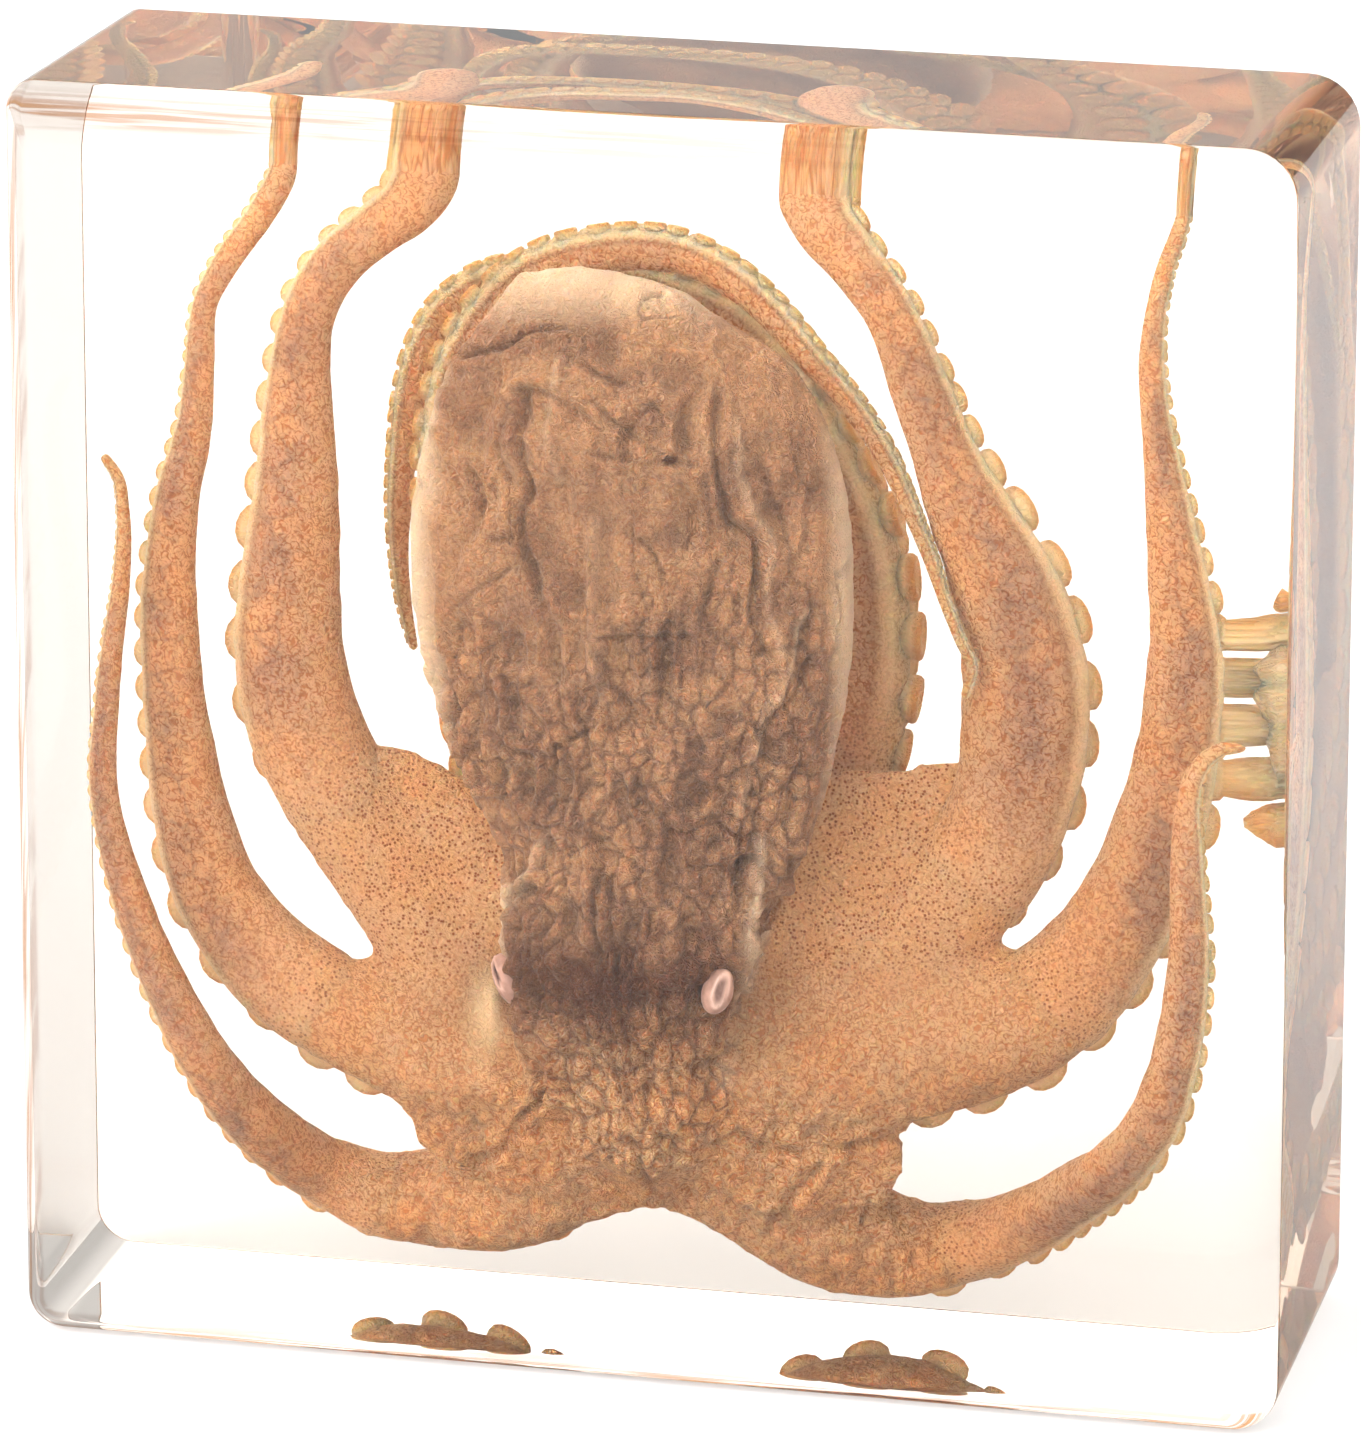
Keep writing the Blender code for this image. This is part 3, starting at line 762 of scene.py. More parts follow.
@dataclass
class ResinBlock:
    """The cast block: drafted sides, rounded corners and polished rims."""

    width: float = 0.110
    height: float = 0.1101
    depth: float = 0.0345
    right_draft: float = 0.0009
    top_draft: float = 0.0003
    base_draft: float = 0.0012
    rims: tuple[float, float, float, float] = (0.0060, 0.0062, 0.0021, 0.0021)
    rim_turns: tuple[float, float, float, float] = (52.0, 55.0, 60.0, 60.0)
    edges: tuple[float, float, float, float] = (0.0012, 0.0010, 0.0021, 0.0021)
    back_rims: tuple[float, float, float, float] = (0.0009, 0.0014, 0.00012, 0.00012)
    rolled: float = 0.0014
    radii: tuple[float, float, float, float] = (0.0035, 0.0045, 0.0020, 0.0032)
    least_radius: float = 0.0006
    corner_steps: int = 8
    rim_steps: int = 9
    reflection_width: float = 0.0021
    reflection_depth: float = 0.42
    reflection_spread: float = 0.55

    def standing(self) -> Matrix:
        """The turn and shift that lean the block back until its base is level at z = 0."""
        turn = Matrix.Rotation(-math.atan(self.base_draft / self.depth), 4, "X")
        foot = turn @ Vector((0.0, -self.depth / 2, 0.0))
        top = turn @ Vector((0.0, self.depth / 2, self.height - self.top_draft))
        sideways = self.right_draft * self.rolled / self.depth / 2
        return Matrix.Translation((sideways, -(foot.y + top.y) / 2, -foot.z)) @ turn

    def loop(self, insets: np.ndarray, depths: np.ndarray) -> np.ndarray:
        """One turn round the block.

        Args:
            insets: How far the right, top, left and bottom sides are moved in.
            depths: How deep behind the front face each of those sides is.

        Returns:
            The loop's points, from the bottom right corner anticlockwise.
        """
        shares = depths / self.depth
        right = self.width / 2 - self.right_draft * shares[0] - insets[0]
        top = self.height - self.top_draft * shares[1] - insets[1]
        left = -self.width / 2 + insets[2]
        bottom = self.base_draft * shares[3] + insets[3]
        corners = ((right, bottom, 3, 0), (right, top, 0, 1), (left, top, 1, 2), (left, bottom, 2, 3))
        points = []
        for number, (across, up, before, after) in enumerate(corners):
            trimmed = self.radii[number] - (insets[before] + insets[after]) / 2
            radius = max(trimmed, self.least_radius)
            centre_x = across - math.copysign(radius, across)
            centre_z = up - math.copysign(radius, up - self.height / 2)
            for step in range(self.corner_steps + 1):
                share = step / self.corner_steps
                angle = (number - 1 + share) * math.pi / 2
                depth = depths[before] * (1.0 - share) + depths[after] * share
                points.append((
                    centre_x + radius * math.cos(angle), depth - self.depth / 2,
                    centre_z + radius * math.sin(angle),
                ))
        return np.array(points)

    def rim_course(self, side: int) -> tuple[np.ndarray, np.ndarray]:
        """How one side's front rim runs: a wide roll, then a tighter edge.

        Args:
            side: The side's number: right, top, left or bottom.

        Returns:
            How far each of its points is moved in, and how deep it is.
        """
        wide, tight = self.rims[side], self.edges[side]
        change = math.radians(self.rim_turns[side])
        first = np.linspace(0.0, change, self.rim_steps)
        second = np.linspace(change, math.pi / 2, self.rim_steps)[1:]
        reach = wide * math.sin(change) + tight * (np.sin(second) - math.sin(change))
        drop = wide * (1 - math.cos(change)) + tight * (math.cos(change) - np.cos(second))
        across = np.concatenate([wide * np.sin(first), reach])
        return across[-1] - across, np.concatenate([wide * (1 - np.cos(first)), drop])

    def painted_reflection(self, points: np.ndarray) -> np.ndarray:
        """How much painted reflection the resin shows at points: along the front's left and bottom rims,
        where the orange octopus is seen golden.
        """
        deep = (points[:, 1] + self.depth / 2) / self.reflection_width
        band = bell(deep, self.reflection_depth, self.reflection_spread)
        low = points[:, 2] < self.reflection_width
        left = points[:, 0] < -self.width / 2 + self.reflection_width
        return band * (low | left) * (deep > 0.001)

    def build(self) -> bpy.types.Object:
        """Builds the block, with its front rims rolled off further along the top and right."""
        courses = np.array([self.rim_course(side) for side in range(len(self.rims))])
        loops = [self.loop(courses[:, 0, step], courses[:, 1, step]) for step in range(courses.shape[2])]
        back = np.array(self.back_rims)
        for turn in np.linspace(math.pi / 2, 0.0, self.rim_steps):
            loops.append(self.loop(back * (1 - math.sin(turn)), self.depth - back * (1 - math.cos(turn))))
        points = np.vstack(loops[::-1])
        # The rims' painted reflection.
        marks = {Mark.PAINTED_LIGHT: self.painted_reflection(points)}
        block = object_from("resin_block", points, rings_to_faces(len(loops), len(loops[0])), marks)
        even = block.modifiers.new("even shading", "WEIGHTED_NORMAL")
        even.weight = 100
        block.data.materials.append(ResinFinish().make())
        return block


def directions(route: np.ndarray, outward: int = 1) -> tuple[np.ndarray, np.ndarray]:
    """The directions to the side and to the back of a route, at each of its points.

    Args:
        route: Points, one a row.
        outward: 1 for the route's right side where it runs up, -1 for its left.

    Returns:
        The sides and the backs, one a row in each.
    """
    tangents = unit_rows(np.gradient(route[:, :3], axis=0))
    sides = unit_rows(np.column_stack([tangents[:, 2], np.zeros(len(route)), -tangents[:, 0]]) * outward)
    backs = np.cross(sides, tangents)
    return sides, backs * np.sign(backs[:, 1:2])


def tube_points(
    route: np.ndarray, flatness: float, around: int, outward: int = 1, profile: np.ndarray | float = 1.0,
) -> np.ndarray:
    """The rings of a tube along a route, flattened from front to back.

    Args:
        route: Points with their radii, one a row.
        flatness: The depth of a section as a share of its width.
        around: How many points a ring has.
        outward: The side that each ring starts on, 1 for right or -1 for left.
        profile: What the radii are multiplied by, a row for each ring.

    Returns:
        The points of all rings, ring by ring.
    """
    sides, backs = directions(route, outward)
    angles = round_angles(around)[None, :, None]
    radii = (route[:, 3:4] * profile)[:, :, None]
    across = np.cos(angles) * sides[:, None, :]
    behind = flatness * np.sin(angles) * backs[:, None, :]
    return (route[:, None, :3] + radii * (across + behind)).reshape(-1, 3)


def rounded_ends(route: np.ndarray, steps: int = 6, most: float = 0.0022) -> np.ndarray:
    """A route with a half-round added past both its ends.

    Args:
        route: Points with their radii, one a row.
        steps: How many points each half-round has.
        most: How far a half-round reaches at most, in metres.

    Returns:
        The longer route.
    """
    turns = np.linspace(0.0, math.pi / 2, steps + 1)[1:]
    ends = []
    for end, before in ((route[0], route[1]), (route[-1], route[-2])):
        away = (end[:3] - before[:3]) / np.linalg.norm(end[:3] - before[:3])
        shrunk = np.maximum(end[3] * np.cos(turns), end[3] * 0.02)
        reach = min(end[3], most)
        ends.append(np.column_stack([end[:3] + np.outer(reach * np.sin(turns), away), shrunk]))
    return np.vstack([ends[0][::-1], route, ends[1]])


MANTLE: Route = (
    (638, 280, 11.6, 50), (637, 287, 11.6, 76), (633, 300, 11.5, 103), (629, 335, 11.4, 145),
    (629, 390, 11.3, 183), (630, 450, 11.2, 207), (631, 520, 11.2, 219), (632, 590, 11.2, 221),
    (636, 655, 11.2, 216), (641, 715, 11.4, 203), (645, 775, 11.6, 184), (643, 830, 11.8, 160),
    (637, 880, 12.0, 138),
)
HEAD: Route = (
    (640, 830, 12.2, 120), (636, 880, 12.0, 134), (628, 930, 11.8, 130), (622, 975, 11.8, 124),
    (622, 1020, 12.4, 112), (630, 1065, 13.2, 96), (640, 1110, 14.0, 80),
)
CROWN: Route = (
    (630, 1010, 15.0, 70), (636, 1050, 16.0, 96), (644, 1095, 17.0, 98), (650, 1130, 18.5, 78),
    (652, 1160, 20.0, 46),
)
WEBS: tuple[Route, ...] = (
    ((640, 1020, 18.5, 90), (560, 960, 18.5, 84), (480, 890, 18.5, 66), (430, 810, 18.5, 30)),
    ((640, 1020, 18.5, 90), (740, 970, 18.5, 92), (830, 890, 18.5, 82), (900, 810, 18.5, 50)),
    ((600, 1080, 17.0, 90), (500, 1120, 18.0, 78), (430, 1120, 18.0, 42)),
    ((690, 1090, 17.0, 90), (800, 1140, 18.0, 84), (880, 1170, 18.0, 46)),
    ((860, 1000, 18.0, 70), (930, 940, 18.0, 60)),
    ((830, 900, 18.5, 80), (880, 830, 18.5, 62), (928, 796, 18.3, 38), (985, 768, 18.0, 20)),
    ((760, 920, 18.5, 80), (830, 830, 18.5, 58), (866, 788, 18.5, 34)),
    ((500, 900, 18.5, 84), (440, 832, 18.3, 70), (398, 788, 18.0, 50), (335, 752, 18.0, 24)),
    (
        (490, 1196, 25.0, 56), (580, 1174, 22.0, 54), (650, 1163, 20.5, 54), (720, 1176, 22.0, 56),
        (800, 1212, 24.5, 60),
    ),
)


@dataclass(frozen=True)
class Fold:
    """A crease in the skin: where it runs on the photograph, its half width and its depth."""

    line: Line
    half_width: float = 4.0
    depth_mm: float = 0.3
    # How much painted shade lies in the groove.
    shade: float = 0.7
    lip: float = 0.5
    # How much painted highlight lies along a raised ridge.
    pale: float = 0.0


FOLDS: tuple[Fold, ...] = (
    Fold(
        ((530, 395), (526, 447), (528, 480), (522, 521), (522, 547), (533, 584), (541, 603)),
        4.5, 0.55, 1.0, 0.9,
    ),
    Fold(((602, 640), (639, 639), (698, 636)), 2.6, 0.35, 1.0),
    Fold(
        ((715, 399), (715, 447), (724, 491), (730, 525), (750, 536), (755, 566), (752, 603), (757, 636),
         (768, 654)),
        3.6, 0.4, 0.7, 0.9,
    ),
    Fold(((591, 403), (617, 421), (661, 454)), 2.6, 0.3, 1.0),
    Fold(((570, 358), (598, 377), (620, 384)), 3.0, 0.25, 0.8),
    Fold(((519, 393), (546, 393), (572, 410), (602, 429)), 3.0, 0.3, 0.9),
    Fold(((594, 453), (631, 462), (661, 462), (698, 467)), 2.8, 0.3, 0.8),
    Fold(((639, 540), (654, 554), (665, 577)), 3.0, 0.3, 0.9),
    Fold(((469, 362), (502, 347), (528, 331), (569, 329)), 2.6, 0.3, 0.9),
    Fold(((718, 558), (713, 588), (698, 628)), 3.2, 0.3, 0.7),
    Fold(((491, 541), (513, 540)), 2.6, 0.2, 0.7),
    Fold(
        ((587, 610), (589, 632), (598, 658), (620, 695), (635, 717), (661, 736), (702, 747)), 3.0, 0.28, 0.8,
    ),
    Fold(((558, 747), (580, 736), (595, 725)), 2.8, 0.25, 0.7),
    Fold(((750, 739), (772, 713), (798, 684), (816, 651)), 3.2, 0.3, 0.6, 1.0),
    Fold(((754, 795), (752, 758), (765, 736), (768, 706)), 3.2, 0.3, 0.6, 1.0),
    Fold(((458, 606), (476, 591), (506, 569)), 2.8, 0.25, 0.7),
    Fold(((508, 913), (521, 895), (535, 891)), 3.4, 0.35, 0.9, 0.9),
    Fold(((750, 836), (744, 865), (737, 887)), 3.2, 0.35, 0.9),
    Fold(
        ((598, 876), (598, 935), (604, 1002), (613, 1057), (620, 1087), (631, 1131), (643, 1172),
         (661, 1205)),
        3.4, 0.3, 0.7,
    ),
    Fold(((613, 876), (613, 928), (617, 994), (626, 1039), (635, 1076)), 2.8, 0.2, 0.6),
    Fold(((508, 998), (524, 1031), (543, 1076), (543, 1098)), 3.6, 0.5, 1.0, 1.0),
    Fold(((546, 1098), (524, 1113), (511, 1135), (502, 1150), (471, 1161)), 3.6, 0.4, 0.7, 1.0),
    Fold(((720, 1061), (713, 1087), (705, 1109)), 3.0, 0.25, 0.6, 0.9),
    Fold(((728, 1113), (728, 1128), (713, 1146)), 3.0, 0.25, 0.7),
    Fold(((735, 1131), (754, 1144), (787, 1150), (835, 1150), (898, 1135)), 3.6, 0.35, 0.6, 1.0),
    Fold(((820, 1165), (798, 1187), (779, 1213), (765, 1235)), 3.6, 0.35, 0.7, 1.0),
    Fold(((872, 1198), (857, 1239), (839, 1276), (833, 1287)), 2.0, 0.3, 1.0, 0.2),
    Fold(((892, 1191), (896, 1224), (902, 1246)), 2.0, 0.25, 0.9, 0.2),
    Fold(((456, 1135), (447, 1154)), 2.4, 0.25, 0.8),
    Fold(((384, 1198), (384, 1235)), 2.2, 0.3, 1.0, 0.2),
    # Raised ridges, with painted highlight along them.
    Fold(((760, 842), (757, 880), (750, 925), (746, 985)), 7.0, -0.5, 0.0, 0.0, 0.6),
    Fold(
        ((735, 420), (742, 470), (752, 512), (770, 540), (768, 590), (780, 650)), 5.0, -0.35, 0.0, 0.0, 0.25,
    ),
    Fold(((806, 612), (790, 655), (770, 700), (752, 760), (742, 812)), 4.5, -0.4, 0.0, 0.0, 0.3),
    Fold(((566, 360), (556, 400), (552, 440), (560, 480)), 4.0, -0.3, 0.0, 0.0, 0.2),
    Fold(((596, 520), (594, 580), (592, 640), (600, 700)), 5.0, -0.3, 0.0, 0.0, 0.2),
    Fold(((543, 840), (535, 870), (520, 905), (506, 940)), 4.5, -0.35, 0.0, 0.0, 0.35),
)


@dataclass(frozen=True)
class Surface:
    """What is known of a skin's points, with a value or a row for each.

    pixels are what they show at, front is how far they face the front, mantle is how far
    they belong to the mantle or head, and edge is how far across the mantle they lie,
    from 0 on its middle line to 1 on its edge.
    """

    points: np.ndarray
    facing: np.ndarray
    pixels: np.ndarray
    front: np.ndarray
    mantle: np.ndarray
    edge: np.ndarray


@dataclass
class Trunk:
    """The mantle, head, crown and webs with the roots of all arms, grown together as one skin."""

    voxel: float = 0.00107
    smoothing: int = 5
    route_spacing: float = 0.0010
    around: int = 40
    mantle_flatness: float = 0.42
    head_flatness: float = 0.58
    crown_flatness: float = 0.95
    web_flatness: float = 0.36
    blunt_end: float = 0.0003
    mantle_gain: float = 1.03
    mantle_reach: tuple[float, float] = (1.06, 1.22)
    root_tail: float = 0.0045
    root_tail_radius: float = 0.80

    fold_side: float = -0.35
    fold_share: float = 0.05
    fold_gain: float = 2.0
    fold_shade: float = 0.52
    fold_step: float = 12.0
    fold_wander: tuple[Grain, ...] = (Grain(0.0025, 51, 3.5), Grain(0.0025, 52, 3.5))
    fold_least: float = 0.75
    fold_uneven: Grain = Grain(0.0030, 53, 0.45)
    bank: tuple[float, float, float] = (2.8, 1.9, 0.6)
    pit: tuple[float, float] = (670.0, 460.0)
    pit_half: tuple[float, float] = (8.0, 5.0)
    pit_depth: float = 0.0006
    # Painted shade in the pit, and in two spots by the eyes that have no pit in the skin.
    pit_shade: float = 1.3
    painted_shade_spots: tuple[tuple[float, float], ...] = ((550.0, 975.0), (671.0, 983.0))
    painted_shade_half: float = 9.0
    painted_shade_strength: float = 0.55

    low_rows: tuple[float, float] = (520.0, 700.0)
    low_border: Grain = Grain(0.008, 19, 60.0)
    crown_rows: tuple[float, float] = (1020.0, 1110.0)
    crown_border: Grain = Grain(0.007, 23, 40.0)
    top_rows: tuple[float, float] = (300.0, 400.0)
    bend: tuple[Grain, ...] = (Grain(0.004, 31, 0.0011), Grain(0.004, 32, 0.0011), Grain(0.004, 33, 0.0011))
    cobble_size: tuple[float, float, float] = (0.0015, 0.0024, 0.0024)
    cobble_height: float = 0.00032
    mantle_cobbles: float = 1.4
    vein_range: tuple[float, float] = (0.20, 0.02)
    crown_veins: float = 0.55
    wrinkles: tuple[Grain, ...] = (
        Grain((0.0019, 0.0019, 0.0064), 12, 0.00150), Grain((0.0011, 0.0011, 0.0030), 16, 0.00060),
    )
    wrinkle_level: float = 0.35
    mantle_wrinkles: float = 1.35
    crown_wrinkles: float = 0.7
    crown_broad: float = 0.4
    slits: Grain = Grain((0.0026, 0.0026, 0.0075), 18)
    slit_places: Grain = Grain(0.006, 20)
    slit_depth: float = 0.00040
    slit_shade: float = 0.35
    fine: tuple[Grain, ...] = (Grain(0.0011, 13, 0.00010), Grain(0.0006, 21, 0.00006))
    broad: Grain = Grain(0.0075, 14, 0.00090)

    eye_patch: tuple[float, float] = (618.0, 990.0)
    eye_patch_half: tuple[float, float] = (128.0, 52.0)
    eye_patch_border: Grain = Grain(0.004, 15, 0.30)
    eye_patch_share: float = 0.88
    # A painted highlight down the head's left side, in streaks.
    side_highlight: tuple[float, float] = (486.0, 1014.0)
    side_highlight_half: tuple[float, float] = (17.0, 44.0)
    side_highlight_share: float = 1.3
    side_highlight_streaks: Grain = Grain((0.0006, 0.0010, 0.0060), 22, 0.35)
    mantle_rows: tuple[float, float] = (1110.0, 960.0)
    mantle_border: Grain = Grain(0.005, 17, 45.0)
    web_rows: tuple[float, float] = (1060.0, 930.0)
    # Painted light on the mantle: its top is painted lighter, and its edges are painted glowing, more widely
    # on the left than on the right.
    top_light_rows: tuple[float, float] = (340.0, 276.0)
    top_light_share: float = 0.7
    glow_split: float = 640.0
    right_glow_share: float = 0.8
    vein_share: float = 0.62

    def add_tube(
        self, work: bmesh.types.BMesh, stations: np.ndarray, flatness: float, most: float = 0.0022,
    ) -> None:
        """Adds one tube to the shapes that the skin grows over."""
        route = rounded_ends(smooth_route(stations, self.route_spacing), most=most)
        points = tube_points(route, flatness, self.around)
        mesh = bpy.data.meshes.new("shape")
        mesh.from_pydata(points.tolist(), [], rings_to_faces(len(route), self.around))
        work.from_mesh(mesh)
        bpy.data.meshes.remove(mesh)

    def root(self, arm: "Arm") -> np.ndarray:
        """The stretch of an arm that lies in the web, with a tail that runs on into the arm."""
        stations = SIGHT.stations(arm.route)
        fine = smooth_route(stations, self.route_spacing)
        start = nearest_point(fine, stations[arm.fork])
        root = fine[: start + int(self.root_tail / self.route_spacing)].copy()
        root[start:, 3] *= np.linspace(1.0, self.root_tail_radius, len(root) - start)
        return root

    def skin(self, arms: tuple["Arm", ...]) -> bpy.types.Object:
        """Grows one even skin over all shapes and softens it.

        Args:
            arms: The arms whose roots are part of it.

        Returns:
            The skin, still without its relief.
        """
        work = bmesh.new()
        mantle = SIGHT.stations(MANTLE) * (1.0, 1.0, 1.0, self.mantle_gain)
        self.add_tube(work, mantle, self.mantle_flatness, self.blunt_end)
        self.add_tube(work, SIGHT.stations(HEAD), self.head_flatness)
        self.add_tube(work, SIGHT.stations(CROWN), self.crown_flatness)
        for route in WEBS:
            self.add_tube(work, SIGHT.stations(route), self.web_flatness)
        for arm in arms:
            self.add_tube(work, self.root(arm), arm.flatness)
        bmesh.ops.recalc_face_normals(work, faces=work.faces)
        skin = object_of("mantle_head_and_web_skin", work)
        grow = skin.modifiers.new("one skin", "REMESH")
        grow.mode = "VOXEL"
        grow.voxel_size = self.voxel
        soften = skin.modifiers.new("soften", "SMOOTH")
        soften.factor = 0.5
        soften.iterations = self.smoothing
        finer = skin.modifiers.new("finer", "SUBSURF")
        finer.levels = 1
        finer.render_levels = 1
        keep_shape(skin)
        skin.data.shade_smooth()
        return skin

    def refine(self, mesh: bpy.types.Mesh) -> None:
        """Halves the skin's faces on the mantle's and the head's front, which the folds are on."""
        points, facing = points_of(mesh)
        ahead = (facing[:, 1] < self.fold_side) & (self.mantle_share(points)[0] > self.fold_share)
        work = bmesh.new()
        work.from_mesh(mesh)
        chosen = [edge for edge in work.edges if ahead[edge.verts[0].index] and ahead[edge.verts[1].index]]
        bmesh.ops.subdivide_edges(work, edges=chosen, cuts=1, use_grid_fill=True)
        work.to_mesh(mesh)
        work.free()
        mesh.shade_smooth()

    def mantle_share(self, points: np.ndarray) -> tuple[np.ndarray, np.ndarray]:
        """How far points belong to the mantle or head.

        Args:
            points: Points of the skin, one a row.

        Returns:
            A share from 0 to 1 for each point, and how far across the mantle it lies,
            from 0 on its middle line to 1 on its edge.
        """
        best = np.full(len(points), np.inf)
        edge = np.zeros(len(points))
        for route, flatness in ((MANTLE, self.mantle_flatness), (HEAD[1:6], self.head_flatness)):
            for x, y, z, radius in smooth_route(SIGHT.stations(route), self.route_spacing * 2):
                offsets = (points - (x, y, z)) / (radius, radius * flatness, radius)
                away = np.sqrt((offsets**2).sum(axis=1))
                edge = np.where(away < best, np.abs(offsets[:, 0]), edge)
                best = np.minimum(best, away)
        return 1.0 - smooth_step(best, *self.mantle_reach), edge

    def folds(self, skin: Surface) -> tuple[np.ndarray, np.ndarray, np.ndarray]:
        """The folds, the pit between them and the two spots of painted shade by the eyes.

        Args:
            skin: The skin's points.

        Returns:
            How far each point moves out, its painted shade and its painted highlight.
        """
        height, shade, painted_highlight = np.zeros((3, len(skin.points)))
        wander = np.column_stack([grain.at(skin.points) for grain in self.fold_wander])
        uneven = self.fold_least + self.fold_uneven.at(skin.points)
        bank_middle, bank_half, bank_share = self.bank
        for fold in FOLDS:
            course = smooth_route(np.array(fold.line, dtype=float), self.fold_step)
            away = distance_to_line(skin.pixels + wander, course) / fold.half_width
            groove = bell(away) * skin.front * uneven
            banks = bell(away, bank_middle, bank_half) * skin.front
            rise = fold.lip * bank_share * banks - groove
            height += rise * fold.depth_mm * self.fold_gain * MILLIMETRE
            # Painted shade in each groove, and painted highlight along each raised ridge.
            shade = np.maximum(shade, groove * fold.shade * self.fold_shade)
            painted_highlight = np.maximum(painted_highlight, groove * fold.pale)
        pit = spot_distance(skin.pixels, self.pit, self.pit_half)
        height -= self.pit_depth * bell(pit) * skin.front
        # Painted shade in the pit and in the two spots by the eyes.
        shade = np.maximum(shade, self.pit_shade * bell(pit**2) * skin.front)
        for spot in self.painted_shade_spots:
            near = spot_distance(skin.pixels, spot, self.painted_shade_half)
            shade = np.maximum(shade, self.painted_shade_strength * bell(near) * skin.front)
        return height, shade, painted_highlight

    def grain(self, skin: Surface) -> tuple[np.ndarray, np.ndarray, np.ndarray]:
        """The cobbles, wrinkles and slits between the folds.

        Args:
            skin: The skin's points.

        Returns:
            How far each point moves out, how far it is in a slit and how far in a vein.
        """
        points, mantle, rows = skin.points, skin.mantle, skin.pixels[:, 1]
        low = smooth_step(rows + self.low_border.at(points), *self.low_rows) * mantle
        crown = smooth_step(rows + self.crown_border.at(points), *self.crown_rows)
        bent = points + np.column_stack([grain.at(points) for grain in self.bend])
        away = cell_edges(bent, self.cobble_size, 11)
        cobbles = (smooth_step(away, 0.0, 0.5) - 0.6) * self.cobble_height
        veins = smooth_step(away, *self.vein_range) * np.maximum(low, self.crown_veins * crown)
        wrinkles = sum(self.wrinkle_level * grain.height - np.abs(grain.at(bent)) for grain in self.wrinkles)
        slits = smooth_step(np.abs(self.slits.at(bent)), 0.09, 0.0)
        slits *= smooth_step(self.slit_places.at(points), -0.1, 0.3) * mantle * skin.front
        broad = self.broad.at(bent)
        calm = smooth_step(skin.edge, 1.0, 0.78) * (0.45 + 0.55 * smooth_step(rows, *self.top_rows))
        height = sum(grain.at(points) for grain in self.fine) - slits * self.slit_depth
        on_mantle = cobbles * self.mantle_cobbles * low + calm * (wrinkles * self.mantle_wrinkles + broad)
        height += skin.front * mantle * on_mantle
        on_crown = cobbles + wrinkles * self.crown_wrinkles + broad * self.crown_broad
        flat_on = smooth_step(skin.facing[:, 1], -0.35, -0.75)
        return height + flat_on * (1.0 - mantle) * crown * on_crown, slits, veins

    def colours(
        self, skin: Surface, shade: np.ndarray, painted_highlight: np.ndarray, veins: np.ndarray,
    ) -> dict[Mark, np.ndarray]:
        """The values that the skin's colours are laid out by.

        Args:
            skin: The skin's points.
            shade: How much painted shade each point has.
            painted_highlight: How much painted highlight each point has, along the raised ridges.
            veins: How far each point is in a vein.

        Returns:
            The marks.
        """
        points, mantle, (columns, rows) = skin.points, skin.mantle, skin.pixels.T
        patch = spot_distance(skin.pixels, self.eye_patch, self.eye_patch_half)
        patch = np.maximum(patch + self.eye_patch_border.at(points), 0.0)
        # A painted highlight down the head's left side, in streaks.
        pale = bell(spot_distance(skin.pixels, self.side_highlight, self.side_highlight_half)) * skin.front
        pale *= (1.0 - mantle) * (0.65 + self.side_highlight_streaks.at(points))
        border = rows + self.mantle_border.at(points) + 0.0020 * (columns - 618.0) ** 2
        above = smooth_step(border, *self.mantle_rows)
        # Painted light: the mantle's top is painted lighter and its edges painted glowing, more widely on the
        # left.
        painted_top_light = smooth_step(rows, *self.top_light_rows) * self.top_light_share
        right_glow = self.right_glow_share * smooth_step(skin.edge, 0.90, 1.02)
        lit_edge = np.where(columns < self.glow_split, smooth_step(skin.edge, 0.84, 1.0), right_glow)
        # Painted light and painted shade go into their marks here, beside the skin's own colours.
        return all_marks(len(points), {
            Mark.MANTLE: mantle * above,
            Mark.PAINTED_LIGHT: np.maximum(np.maximum(lit_edge, painted_top_light) * mantle * above, painted_highlight),
            Mark.CREASE: np.clip(shade, 0.0, 1.0),
            Mark.EYE_PATCH: np.exp(-0.9 * patch**2.4) * skin.front * self.eye_patch_share,
            Mark.PALE_BAND_AND_HIGHLIGHT: np.clip(pale * self.side_highlight_share, 0.0, 1.0),
            Mark.NET: np.clip(veins * self.vein_share, 0.0, 1.0),
            Mark.PORES: (1.0 - mantle) * smooth_step(rows, *self.web_rows),
        })

    def build(self, arms: tuple["Arm", ...], material: bpy.types.Material) -> bpy.types.Object:
        """Builds the trunk and dresses it.

        Args:
            arms: The arms whose roots are part of it.
            material: The skin's material.

        Returns:
            The finished piece.
        """
        piece = self.skin(arms)
        self.refine(piece.data)
        points, facing = points_of(piece.data)
        front = smooth_step(facing[:, 1], 0.15, -0.25)
        skin = Surface(points, facing, SIGHT.seen(points), front, *self.mantle_share(points))
        height, shade, painted_highlight = self.folds(skin)
        rise, slits, veins = self.grain(skin)
        # Painted shade in the slits as well.
        shade = np.maximum(shade, slits * self.slit_shade)
        move_points(piece.data, points + facing * (height + rise)[:, None])
        put_marks(piece, self.colours(skin, shade, painted_highlight, veins))
        piece.data.materials.clear()
        piece.data.materials.append(material)
        return piece


